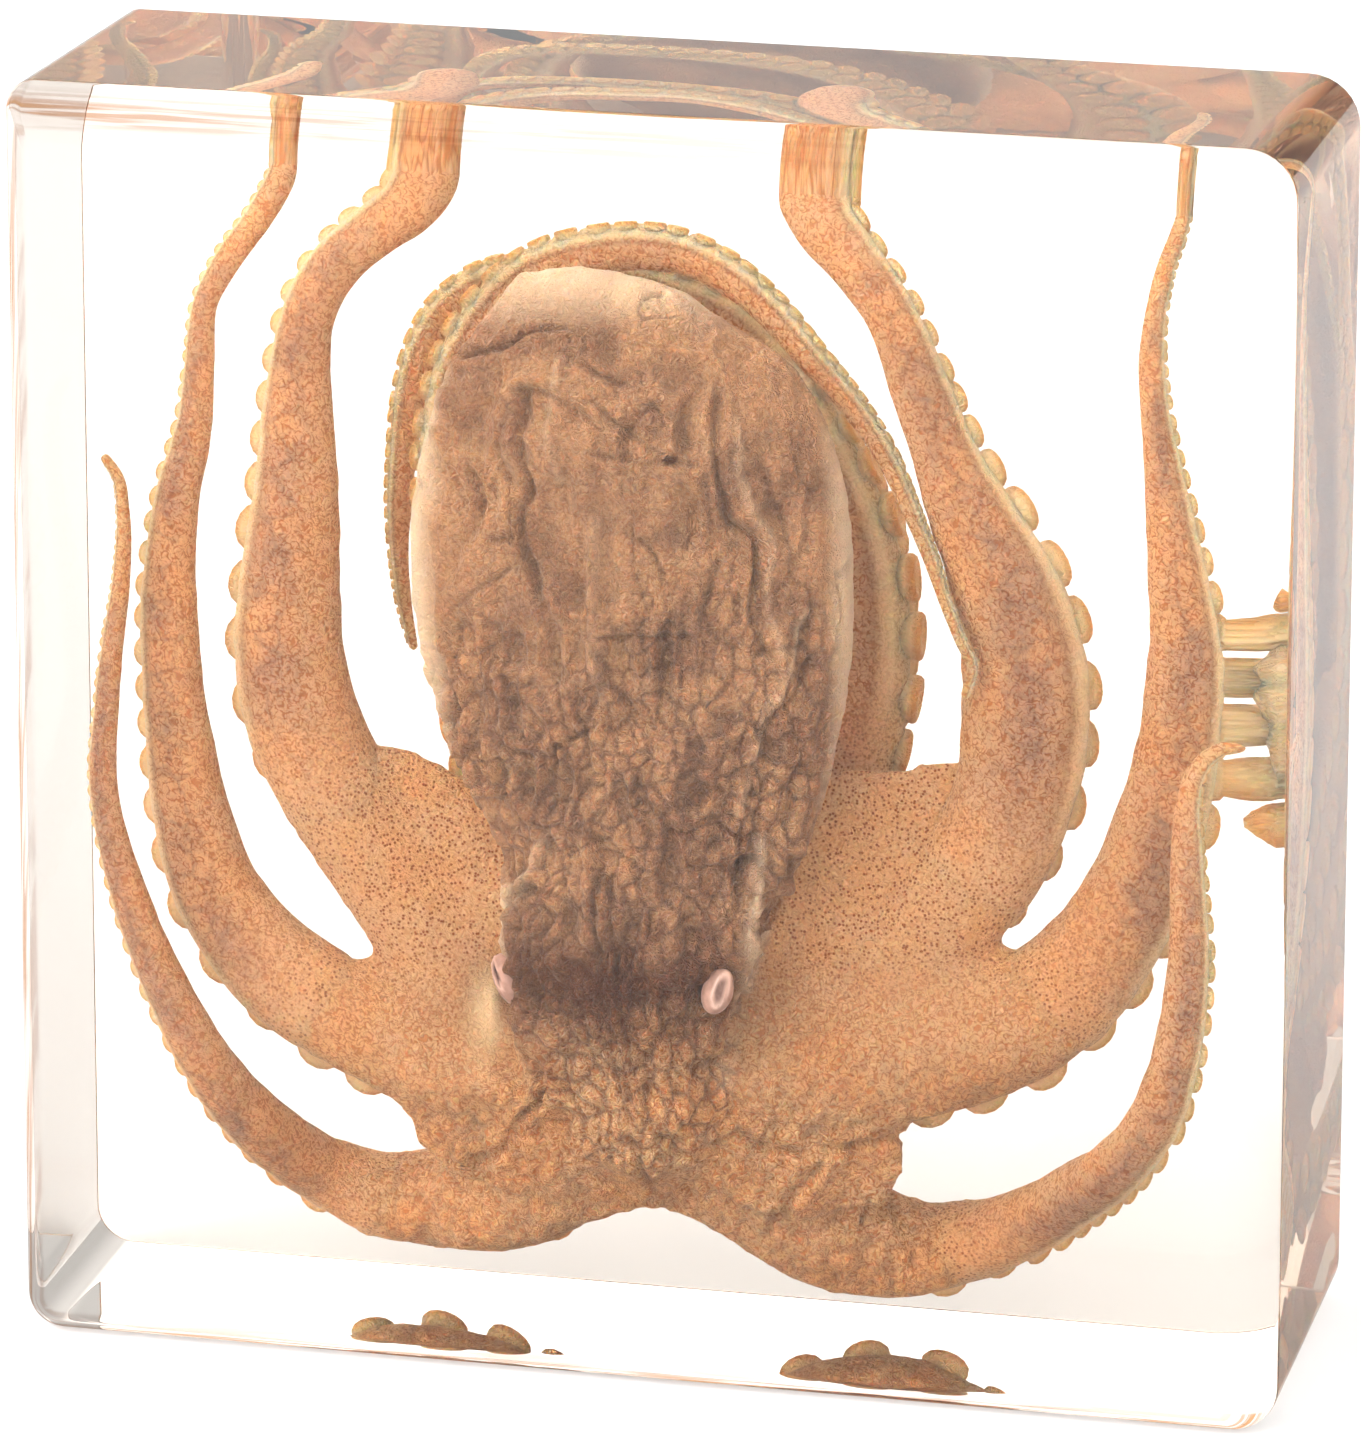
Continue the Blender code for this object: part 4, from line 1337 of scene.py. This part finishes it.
@dataclass(frozen=True)
class Arm:
    """One arm: its route, the place on it where it leaves the web, and its suckers' side.

    outward is -1 where the suckers lie to the left of an arm that goes up, and 1 to the right.
    flatness is the depth of a section as a share of its width. rows are the directions
    that the two rows of suckers face, from outwards (0) to the back (90 degrees), and
    root_turn is how much further back they face under the web.
    """

    name: str
    fork: int
    outward: int
    flatness: float
    route: Route
    rows: tuple[float, float] = (28.0, 88.0)
    root_turn: float = 24.0
    stripe: float = -75.0
    stripe_share: float = 1.0
    seed: int = 1


ARMS: tuple[Arm, ...] = (
    Arm("arm_left_1", 3, -1, 0.95, (
        (600, 1145, 21, 54), (520, 1190, 24.5, 62), (450, 1197, 27, 56), (385, 1194, 27.5, 46),
        (325, 1171, 26, 37), (275, 1137, 21.5, 34), (235, 1098, 17.5, 31), (200, 1050, 14.5, 27),
        (173, 1000, 13.5, 25), (150, 950, 12.5, 22), (128, 890, 12, 19), (111, 830, 12, 16),
        (103, 775, 12, 14), (106, 715, 12.5, 13), (112, 650, 13, 11.5), (122, 573, 13.5, 9),
        (123, 510, 14, 7), (117, 475, 14, 6), (106, 459, 14, 5),
    ), root_turn=20.0, seed=21),
    Arm("arm_left_2", 4, -1, 0.8, (
        (600, 1095, 17.5, 50), (520, 1085, 17.5, 56), (440, 1062, 17.5, 58), (375, 1030, 17.5, 58),
        (316, 996, 17.5, 57), (265, 955, 17.5, 53), (226, 905, 17.5, 48), (202, 850, 17, 43),
        (188, 790, 17, 39), (178, 726, 16.5, 34), (171, 650, 16, 31), (169, 573, 16, 27),
        (178, 496, 16, 23), (195, 420, 16, 18), (200, 360, 16, 15), (205, 304, 16.5, 13),
        (229, 258, 17, 14), (260, 215, 18, 14), (282, 175, 19, 14), (288, 146, 20.5, 11),
    ), root_turn=6.0, seed=22),
    Arm("arm_left_3", 4, -1, 0.75, (
        (570, 1040, 19, 52), (495, 995, 19, 60), (434, 932, 19, 62), (382, 862, 18.5, 60),
        (337, 792, 18, 61), (304, 722, 17.5, 60), (289, 650, 17, 56), (291, 573, 16.5, 51),
        (297, 496, 16, 44), (298, 420, 16, 37), (301, 360, 16, 31), (312, 304, 15, 27),
        (338, 262, 15, 26), (374, 230, 15, 27), (410, 203, 15.5, 30), (427, 172, 16.5, 33),
        (427, 144, 18, 30),
    ), seed=23),
    Arm("arm_left_4", 2, -1, 0.72, (
        (600, 1050, 22, 50), (560, 960, 24, 46), (520, 850, 24.5, 42), (490, 740, 24.5, 38),
        (465, 620, 24.5, 35), (450, 520, 24, 32), (448, 440, 23.5, 30), (462, 365, 23, 28),
        (494, 308, 22.5, 26), (541, 268, 22, 24), (604, 250, 21.5, 23), (668, 250, 21.5, 22),
        (722, 271, 20.5, 20), (768, 308, 19.5, 18), (812, 358, 18, 16), (850, 402, 17, 14),
        (884, 452, 16, 12), (911, 510, 15, 9.5), (932, 562, 14, 8), (947, 605, 13, 7),
        (962, 642, 12.5, 6.5), (973, 668, 12.5, 6), (966, 694, 12.5, 5),
    ), rows=(5.0, 60.0), stripe_share=0.35, seed=24),
    Arm("arm_right_4", 3, 1, 0.72, (
        (650, 1060, 22, 50), (720, 960, 25, 50), (789, 860, 27, 56), (836, 765, 27.5, 60),
        (857, 680, 27.5, 59), (861, 600, 27.5, 54), (849, 520, 27.5, 45), (822, 450, 27.5, 36),
        (786, 380, 27.5, 31), (733, 322, 27.5, 28), (662, 290, 27.5, 25), (592, 276, 27.5, 23),
        (530, 274, 27.5, 21), (478, 286, 27.5, 20), (444, 312, 27.5, 19), (424, 346, 27.5, 18),
        (411, 392, 27.5, 17), (403, 449, 27.5, 15), (399, 505, 27.5, 13), (399, 555, 27.5, 10),
        (404, 602, 27.5, 8), (413, 645, 27.5, 5),
    ), rows=(0.0, 55.0), stripe_share=0.3, seed=25),
    Arm("arm_right_3", 4, 1, 0.75, (
        (690, 1045, 19, 52), (765, 1015, 19.5, 60), (842, 974, 19.5, 62), (917, 925, 19, 66),
        (977, 868, 18.5, 64), (1012, 800, 18, 62), (1024, 735, 17.5, 65), (1025, 670, 17, 65),
        (1015, 615, 16.5, 60), (995, 560, 16, 52), (969, 510, 16, 44), (946, 455, 16, 35),
        (925, 400, 16, 31), (905, 347, 15.5, 28), (883, 300, 15.5, 27), (851, 258, 16, 29),
        (824, 222, 17, 33), (815, 190, 18.5, 36), (824, 163, 20, 31),
    ), seed=26),
    Arm("arm_right_2", 5, 1, 0.8, (
        (690, 1090, 17.5, 52), (770, 1085, 17.5, 60), (850, 1070, 18, 65), (928, 1052, 18.5, 67),
        (998, 1030, 18.5, 66), (1056, 996, 18.5, 61), (1102, 946, 18.5, 54), (1137, 888, 18.5, 50),
        (1160, 825, 18.5, 46), (1176, 760, 18.5, 43), (1184, 700, 18, 40), (1186, 650, 17.5, 37),
        (1182, 607, 17, 33), (1176, 560, 17, 28), (1169, 510, 17, 23), (1162, 460, 17, 18),
        (1155, 410, 17, 15), (1152, 357, 17, 12.5), (1156, 312, 17, 10.5), (1166, 268, 17.5, 9),
        (1178, 235, 18, 8), (1186, 205, 18.5, 7), (1186, 180, 19, 6),
    ), root_turn=6.0, seed=27),
    Arm("arm_right_1", 4, 1, 0.95, (
        (680, 1148, 21, 54), (760, 1192, 23, 62), (840, 1230, 25.5, 67), (908, 1248, 27, 54),
        (972, 1240, 26.5, 42), (1030, 1220, 23, 35), (1076, 1194, 17.5, 32), (1118, 1165, 12, 29),
        (1150, 1128, 10, 27), (1172, 1072, 9, 25), (1184, 1010, 9, 23), (1189, 950, 9, 21),
        (1188, 895, 9, 18), (1187, 845, 9.5, 15), (1188, 803, 10, 12), (1195, 775, 10.5, 10),
        (1208, 757, 11, 8), (1224, 748, 12, 6.5),
    ), root_turn=20.0, seed=28),
)


@dataclass
class ArmMaker:
    """Makes an arm's skin with its suckers.

    Angles are in degrees round a section, from 0 where it faces outwards, and oral ones
    are counted from the middle between the two rows of suckers.
    """

    spacing: float = 0.00045
    around: int = 36
    overlap: float = 0.0045
    overlap_radius: float = 0.84
    margin: float = 0.05
    margin_at: tuple[float, float] = (78.0, 14.0)
    oral_flat: float = 0.14
    oral_half: float = 50.0
    grown_after: float = 0.010
    fade: tuple[float, float] = (-0.002, 0.014)
    wrinkles: tuple[tuple[float, int, float], ...] = ((0.0016, 0, 0.035), (0.0045, 40, 0.05))
    wrinkled_to: float = 0.003
    stripe_half: float = 38.0
    # A painted glow along each sucker margin, and a line of painted shade just outside it.
    glow_at: tuple[float, float, float] = (80.0, 12.0, 0.7)
    shade_line_at: tuple[float, float, float] = (101.0, 6.0, 0.45)
    pale_at: tuple[float, float, float] = (0.0, 52.0, 0.75)
    pitch: float = 1.16
    sucker_radius: float = 0.52
    thinnest: float = 0.0004
    thickest: float = 0.0041
    least_sucker: float = 0.00022
    bare: float = 0.004
    first_sucker: float = 0.35
    stagger: float = 0.5
    root_turn_range: tuple[float, float] = (0.008, -0.004)
    sucker_steps: int = 14
    cup: tuple[tuple[float, float, float], ...] = (
        (0.92, -0.60, 0.0), (0.96, -0.05, 0.0), (0.99, 0.14, 0.0), (1.02, 0.30, 0.5), (1.0, 0.42, 1.0),
        (0.92, 0.52, 1.0), (0.78, 0.55, 0.6), (0.62, 0.45, 0.2), (0.38, 0.30, 0.3), (0.10, 0.26, 0.6),
    )

    def free_route(self, arm: Arm) -> tuple[np.ndarray, np.ndarray]:
        """The route of the free part of an arm.

        Args:
            arm: The arm.

        Returns:
            The route, which starts a little inside the web, and the distance along it
            from the fork.
        """
        fine, along = self.whole_route(arm)
        start = int(np.searchsorted(along, -self.overlap))
        route, along = fine[start:].copy(), along[start:]
        full = smooth_step(along, -self.overlap, 0.0)
        route[:, 3] *= self.overlap_radius + (1.0 - self.overlap_radius) * full
        return route, along

    def whole_route(self, arm: Arm) -> tuple[np.ndarray, np.ndarray]:
        """The route of an arm from the crown on, and the distance along it from the fork."""
        stations = SIGHT.stations(arm.route)
        fine = smooth_route(stations, self.spacing)
        fork = nearest_point(fine, stations[arm.fork])
        return fine, (np.arange(len(fine)) - fork) * self.spacing

    def section(self, angles: np.ndarray, middle: float) -> np.ndarray:
        """An arm's section: flatter between the suckers, with a ridge along each side of them."""
        oral = np.degrees(angle_off(angles, middle))
        flat = self.oral_flat * bell(oral, 0.0, self.oral_half)
        return 1.0 + self.margin * bell(oral, *self.margin_at) - flat

    def shaft(
        self, arm: Arm, route: np.ndarray, along: np.ndarray,
    ) -> tuple[np.ndarray, list, dict[Mark, np.ndarray]]:
        """The arm without its suckers.

        Args:
            arm: The arm.
            route: Its route.
            along: The distance of each of the route's points from the fork.

        Returns:
            Its points, its faces and its marks.
        """
        ends = rounded_ends(route)
        reached = np.pad(along, (len(ends) - len(route)) // 2, "edge")
        angles = round_angles(self.around)
        middle = math.radians(sum(arm.rows) / 2)
        grown = smooth_step(reached, 0.0, self.grown_after)[:, None]
        profile = 1.0 + (self.section(angles, middle)[None, :] - 1.0) * grown
        points = tube_points(ends, arm.flatness, self.around, arm.outward, profile)
        by_point = np.repeat(np.column_stack([ends, reached]), self.around, axis=0)
        thick, reached = by_point[:, 3], by_point[:, 4]
        wrinkle = sum(lumps(points, size, arm.seed + shift) * height for size, shift, height in self.wrinkles)
        outwards = (points - by_point[:, :3]) / thick[:, None]
        points = points + outwards * (wrinkle * np.minimum(thick, self.wrinkled_to))[:, None]
        turn = np.tile(angles, len(ends))
        off = np.degrees(angle_off(turn, math.radians(arm.stripe)))
        oral = np.degrees(angle_off(turn, middle))
        fade = smooth_step(reached, *self.fade)
        stripe = bell(off, 0.0, self.stripe_half) * smooth_step(reached / along[-1], 1.0, 0.7)
        # Painted glow and a line of painted shade along the sucker side, beside the arm's own pale band.
        bands = (self.glow_at, self.shade_line_at, self.pale_at)
        rim, line, pale = (share * bell(oral, middle_at, half) for middle_at, half, share in bands)
        marks = all_marks(len(points), {
            Mark.PAINTED_LIGHT: rim * fade, Mark.STRIPE: stripe * fade * arm.stripe_share, Mark.CREASE: line * fade,
            Mark.PALE_BAND_AND_HIGHLIGHT: pale * fade, Mark.PORES: 1.0 - fade,
        })
        return points, rings_to_faces(len(ends), self.around), marks

    def sucker_places(self, arm: Arm) -> list[tuple[np.ndarray, np.ndarray, float]]:
        """Where an arm's suckers sit, from the first that shows under the web.

        Args:
            arm: The arm.

        Returns:
            For each sucker its middle on the skin, the way it faces and its radius.
        """
        route, along = self.whole_route(arm)
        sides, backs = directions(route, arm.outward)
        free = along > along[0] + self.bare
        thick = np.clip(route[:, 3], self.thinnest, self.thickest)
        travelled = np.cumsum(np.where(free, self.spacing / (self.pitch * thick), 0.0))
        middle = math.radians(sum(arm.rows) / 2)
        places = []
        for row, degrees in enumerate(arm.rows):
            for count in range(int(travelled[-1])):
                spot = int(np.searchsorted(travelled, count + self.first_sucker + self.stagger * row))
                if spot >= len(route) - 1:
                    break
                size = thick[spot] * self.sucker_radius
                if size < self.least_sucker:
                    continue
                rooted = float(smooth_step(along[spot], *self.root_turn_range))
                angle = math.radians(degrees + arm.root_turn * rooted)
                reach = 1.0 if along[spot] < 0 else self.section(np.array([angle]), middle)[0]
                side, back = sides[spot] * math.cos(angle), backs[spot] * math.sin(angle)
                facing = side + back / arm.flatness
                facing /= np.linalg.norm(facing)
                skin = (side + back * arm.flatness) * route[spot, 3] * reach
                places.append((route[spot, :3] + skin, facing, size))
        return places

    def suckers(
        self, places: list[tuple[np.ndarray, np.ndarray, float]], first: int,
    ) -> tuple[np.ndarray, list, np.ndarray]:
        """The cups of an arm's suckers.

        Args:
            places: Each sucker's middle, facing and radius.
            first: The number of their first point.

        Returns:
            Their points, their faces, and how far each point belongs to a cup's lip.
        """
        profile = np.array(self.cup)
        angles = round_angles(self.sucker_steps)
        points, faces, lips = [], [], []
        for middle, facing, size in places:
            aside = np.cross(facing, (0.0, 0.3, 1.0))
            aside /= np.linalg.norm(aside)
            other = np.cross(facing, aside)
            round_it = np.cos(angles)[:, None] * aside + np.sin(angles)[:, None] * other
            wide, high = profile[:, 0, None, None], profile[:, 1, None, None]
            rings = middle + size * (wide * round_it + high * facing)
            faces += rings_to_faces(len(profile), self.sucker_steps, first + sum(map(len, points)))
            points.append(rings.reshape(-1, 3))
            lips.append(np.repeat(profile[:, 2], self.sucker_steps))
        return np.vstack(points), faces, np.concatenate(lips)

    def build(self, arm: Arm, material: bpy.types.Material) -> bpy.types.Object:
        """Builds one arm and dresses it.

        Args:
            arm: The arm.
            material: The skin's material.

        Returns:
            The finished piece.
        """
        route, along = self.free_route(arm)
        points, faces, marks = self.shaft(arm, route, along)
        cups, cup_faces, lips = self.suckers(self.sucker_places(arm), len(points))
        for mark, values in marks.items():
            added = {Mark.SUCKER: 1.0 - lips, Mark.LIP: lips}.get(mark, np.zeros(len(cups)))
            marks[mark] = np.concatenate([values, added])
        piece = object_from(f"{arm.name}_skin", np.vstack([points, cups]), faces + cup_faces, marks)
        clean = bmesh.new()
        clean.from_mesh(piece.data)
        bmesh.ops.recalc_face_normals(clean, faces=clean.faces)
        clean.to_mesh(piece.data)
        clean.free()
        piece.data.shade_smooth()
        piece.data.materials.append(material)
        return piece


@dataclass
class Eyes:
    """The two clouded eyes, on the sides of the head."""

    centres: tuple[tuple[float, float, float], ...] = ((508.0, 979.0, 9.7), (717.5, 991.5, 8.3))
    halves_mm: tuple[tuple[float, float, float], ...] = ((1.25, 1.5, 2.35), (1.35, 1.1, 2.1))
    tilts: tuple[float, float] = (-20.0, 18.0)
    slits: tuple[tuple[float, float, float, float], ...] = (
        (-0.50, 0.35, 0.16, 0.42), (0.22, 0.18, 0.30, 0.50),
    )
    slit_edge: tuple[float, float] = (1.15, 0.75)
    slit_depth: float = 0.12
    slit_shares: tuple[float, float] = (1.0, 0.6)
    lid_middle: float = 1.45
    lid_height: float = 0.05
    rim_width: float = 0.14
    fineness: int = 32
    def build(self, name: str, number: int, material: bpy.types.Material) -> bpy.types.Object:
        """Builds one eye: an egg-shaped ball with a raised lid round a slit.

        Args:
            name: The piece's name.
            number: 0 for the left eye, 1 for the right.
            material: The eye's material.

        Returns:
            The finished piece.
        """
        work = bmesh.new()
        bmesh.ops.create_uvsphere(work, u_segments=self.fineness, v_segments=self.fineness // 2, radius=1.0)
        eye = object_of(name, work)
        unit, _ = points_of(eye.data)
        aside, up, half_wide, half_high = self.slits[number]
        off = np.hypot((unit[:, 0] - aside) / half_wide, (unit[:, 2] - up) / half_high)
        ahead = unit[:, 1] < 0.3
        slit = np.where(ahead, smooth_step(off, *self.slit_edge), 0.0)
        lid = np.where(ahead, bell(off, self.lid_middle, self.rim_width * 2), 0.0)
        shaped = unit * (1.0 - self.slit_depth * slit[:, None] + self.lid_height * lid[:, None])
        shaped *= np.array(self.halves_mm[number]) * MILLIMETRE
        turn = np.array(Matrix.Rotation(math.radians(self.tilts[number]), 3, "Y"))
        middle = SIGHT.place(*np.array(self.centres[number]).reshape(3, 1))[0]
        move_points(eye.data, middle + shaped @ turn.T)
        eye.data.shade_smooth()
        # The lid's mark carries a painted highlight.
        put_marks(eye, {Mark.CREASE: slit * self.slit_shares[number], Mark.PAINTED_LIGHT: lid})
        eye.data.materials.append(material)
        return eye


@dataclass
class Octopus:
    """The whole octopus, piece by piece."""

    trunk: Trunk = field(default_factory=Trunk)
    maker: ArmMaker = field(default_factory=ArmMaker)
    eyes: Eyes = field(default_factory=Eyes)
    # Each skin's rim colour is that of its painted glow and highlights.
    skin: SkinFinish = SkinFinish(
        name="octopus_skin", base=linear(230, 184, 138), warm=linear(236, 176, 118),
        pigment=linear(160, 126, 108), gap_shade_colour=linear(204, 168, 140), rim=linear(254, 224, 188),
    )
    arm_skin: SkinFinish = SkinFinish(
        name="octopus_arm_skin", base=linear(232, 186, 142), warm=linear(236, 178, 122),
        pigment=linear(158, 122, 106), gap_shade_colour=linear(206, 170, 142), rim=linear(254, 224, 180),
        depth=0.0024, under_skin=0.60,
    )

    def build(self, effects: Effects) -> list[tuple[bpy.types.Object, Slot, tuple[str, ...]]]:
        """Builds every piece of the octopus.

        Args:
            effects: The node groups that the skins use.

        Returns:
            Each piece with its slot and the nodes that it stands for.
        """
        arm_material = self.arm_skin.make(effects)
        eye_material = EyeFinish().make()
        trunk = self.trunk.build(ARMS, self.skin.make(effects))
        pieces = [(trunk, Slot.SKIN, ("mantle_head_and_web",))]
        for arm in ARMS:
            pieces.append((self.maker.build(arm, arm_material), Slot.ARM, (arm.name,)))
        for number, name in enumerate(("eye_left", "eye_right")):
            pieces.append((self.eyes.build(name, number, eye_material), Slot.SKIN, ()))
        return pieces


@dataclass
class Studio:
    """The floor, the soft light and the camera."""

    floor_half: float = 6.0
    floor_drop: float = 0.0001
    floor_tone: float = 0.40
    floor_white: float = 0.42
    sensor: float = 36.0
    image: tuple[int, int] = (1361, 1453)
    room: float = 0.68
    right_room: float = 0.56
    backdrop: float = 1.1
    backdrop_from: tuple[float, float, float] = (-0.62, 0.78, 0.0)
    overhead: float = 0.58
    key_light: float = 3.0
    key_from: tuple[float, float, float] = (-0.66, -0.44, 0.60)
    key_narrowness: float = 16.0
    key_gain: float = 10.8
    fill_light: float = 5.5
    fill_from: tuple[float, float, float] = (0.26, -0.93, 0.27)
    fill_narrowness: float = 12.0
    skin_gain: float = 1.42
    shine_share: float = 0.45

    def camera(self, standing: Matrix) -> None:
        """Puts the camera where the photograph was taken from, seen from the standing block."""
        data = bpy.data.cameras.new("camera")
        data.sensor_fit = "AUTO"
        data.sensor_width = self.sensor
        data.lens = SIGHT.focal_pixels / max(self.image) * self.sensor
        camera = linked("camera", data)
        turned = Matrix.Rotation(SIGHT.turn, 4, "Z") @ Matrix.Rotation(math.pi / 2 - SIGHT.dip, 4, "X")
        camera.matrix_world = standing @ Matrix.Translation(SIGHT.eye) @ turned
        bpy.context.scene.camera = camera

    def floor(self) -> bpy.types.Object:
        """A wide pale floor, a hair under the block, that burns out to white where it is seen straight."""
        signs = ((-1, -1), (1, -1), (1, 1), (-1, 1))
        corners = np.array([(self.floor_half * x, self.floor_half * y, -self.floor_drop) for x, y in signs])
        floor = object_from("floor", corners, [(0, 1, 2, 3)])
        tone = self.floor_tone
        material, sketch, shader = new_material("pale_floor", {
            "Base Color": (tone, tone, tone, 1.0), "Roughness": 0.9, "Specular IOR Level": 0.0,
            "Emission Color": WHITE,
        })
        path = sketch.node("LightPath").outputs
        bounced = sketch.math("ADD", path["Glossy Depth"], path["Diffuse Depth"])
        straight = sketch.math("LESS_THAN", bounced, 0.5)
        sketch.feed(shader.inputs["Emission Strength"], sketch.times(straight, self.floor_white))
        floor.data.materials.append(material)
        return floor

    def light(self) -> None:
        """A surround that is brighter behind and up on the left, and pure white to the camera.

        Rays that have left the skin find the key and the fill stronger than the clear
        block's own reflections do.
        """
        world = bpy.data.worlds.new("studio")
        bpy.context.scene.world = world
        world.use_nodes = True
        sketch = Sketch(world.node_tree)
        direction = sketch.node("TexCoord").outputs["Generated"]
        path = sketch.node("LightPath").outputs

        def towards(away: tuple[float, float, float]) -> bpy.types.NodeSocket:
            """How far a ray goes one way, from -1 to 1."""
            inputs = {0: direction, 1: Vector(away).normalized()}
            return sketch.node("VectorMath", inputs, operation="DOT_PRODUCT").outputs["Value"]

        def lamp(
            away: tuple[float, float, float], narrowness: float, strength: object,
        ) -> bpy.types.NodeSocket:
            """The light of a soft round source."""
            spread = sketch.math("POWER", sketch.math("MAXIMUM", towards(away), 0.0), narrowness)
            return sketch.times(spread, strength)

        bounced = sketch.math("MINIMUM", path["Diffuse Depth"], 1.0)
        right = sketch.fit(bounced, 0.0, 1.0, self.right_room, self.room)
        around = sketch.fit(towards((1.0, 0.0, 0.0)), -0.3, 0.4, self.room, right)
        panel = sketch.times(sketch.fit(towards(self.backdrop_from), 0.72, 0.86), self.backdrop)
        above = sketch.fit(towards((0.0, 0.0, 1.0)), 0.25, 0.85, 0.0, self.overhead)
        on_skin = self.key_light * self.key_gain / self.skin_gain
        key = lamp(self.key_from, self.key_narrowness, sketch.fit(bounced, 0.0, 1.0, self.key_light, on_skin))
        fill = lamp(self.fill_from, self.fill_narrowness, sketch.times(bounced, self.fill_light))
        lit = around
        for more in (panel, above, key, fill):
            lit = sketch.math("ADD", lit, more)
        gain = sketch.fit(path["Transmission Depth"], 0.0, 1.0, self.shine_share, 1.0)
        gain = sketch.math("MAXIMUM", gain, sketch.times(bounced, self.skin_gain))
        strength = sketch.math("MAXIMUM", sketch.times(lit, gain), path["Is Camera Ray"])
        backdrop = world.node_tree.nodes["Background"]
        sketch.feed(backdrop.inputs["Color"], WHITE)
        sketch.feed(backdrop.inputs["Strength"], strength)

    def set_up(self, standing: Matrix) -> None:
        """Sets up the camera, the floor and the light, and how far light is followed."""
        self.camera(standing)
        self.floor()
        self.light()
        bpy.context.scene.view_settings.view_transform = "Standard"
        cycles = bpy.context.scene.cycles
        cycles.use_denoising = True
        cycles.adaptive_threshold = 0.2
        cycles.sample_clamp_indirect = 8.0
        cycles.max_bounces = 12
        cycles.transmission_bounces = 10
        cycles.glossy_bounces = 8
        cycles.diffuse_bounces = 2
        cycles.caustics_refractive = True
        cycles.caustics_reflective = True


def main() -> None:
    """Builds the block, the octopus in it and the studio round them."""
    logging.basicConfig(level=logging.INFO, format="%(message)s")
    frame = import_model()
    LOG.info("the frame has %d nodes", len(frame["nodes"]))
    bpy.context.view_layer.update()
    resin = ResinBlock()
    standing = resin.standing()
    block = resin.build()
    pieces = [(block, Slot.RESIN, ("resin_front_half", "resin_back_half"))]
    pieces += Octopus().build(Effects())
    for piece, slot, nodes in pieces:
        piece.data.transform(standing)
        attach(piece, "root")
        if nodes:
            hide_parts(*nodes)
        stands_for = ", ".join(nodes) or "nothing"
        LOG.info("%s: %d faces, in place of %s", piece.name, len(piece.data.polygons), stands_for)
    Studio().set_up(standing)


if __name__ == "__main__":
    main()
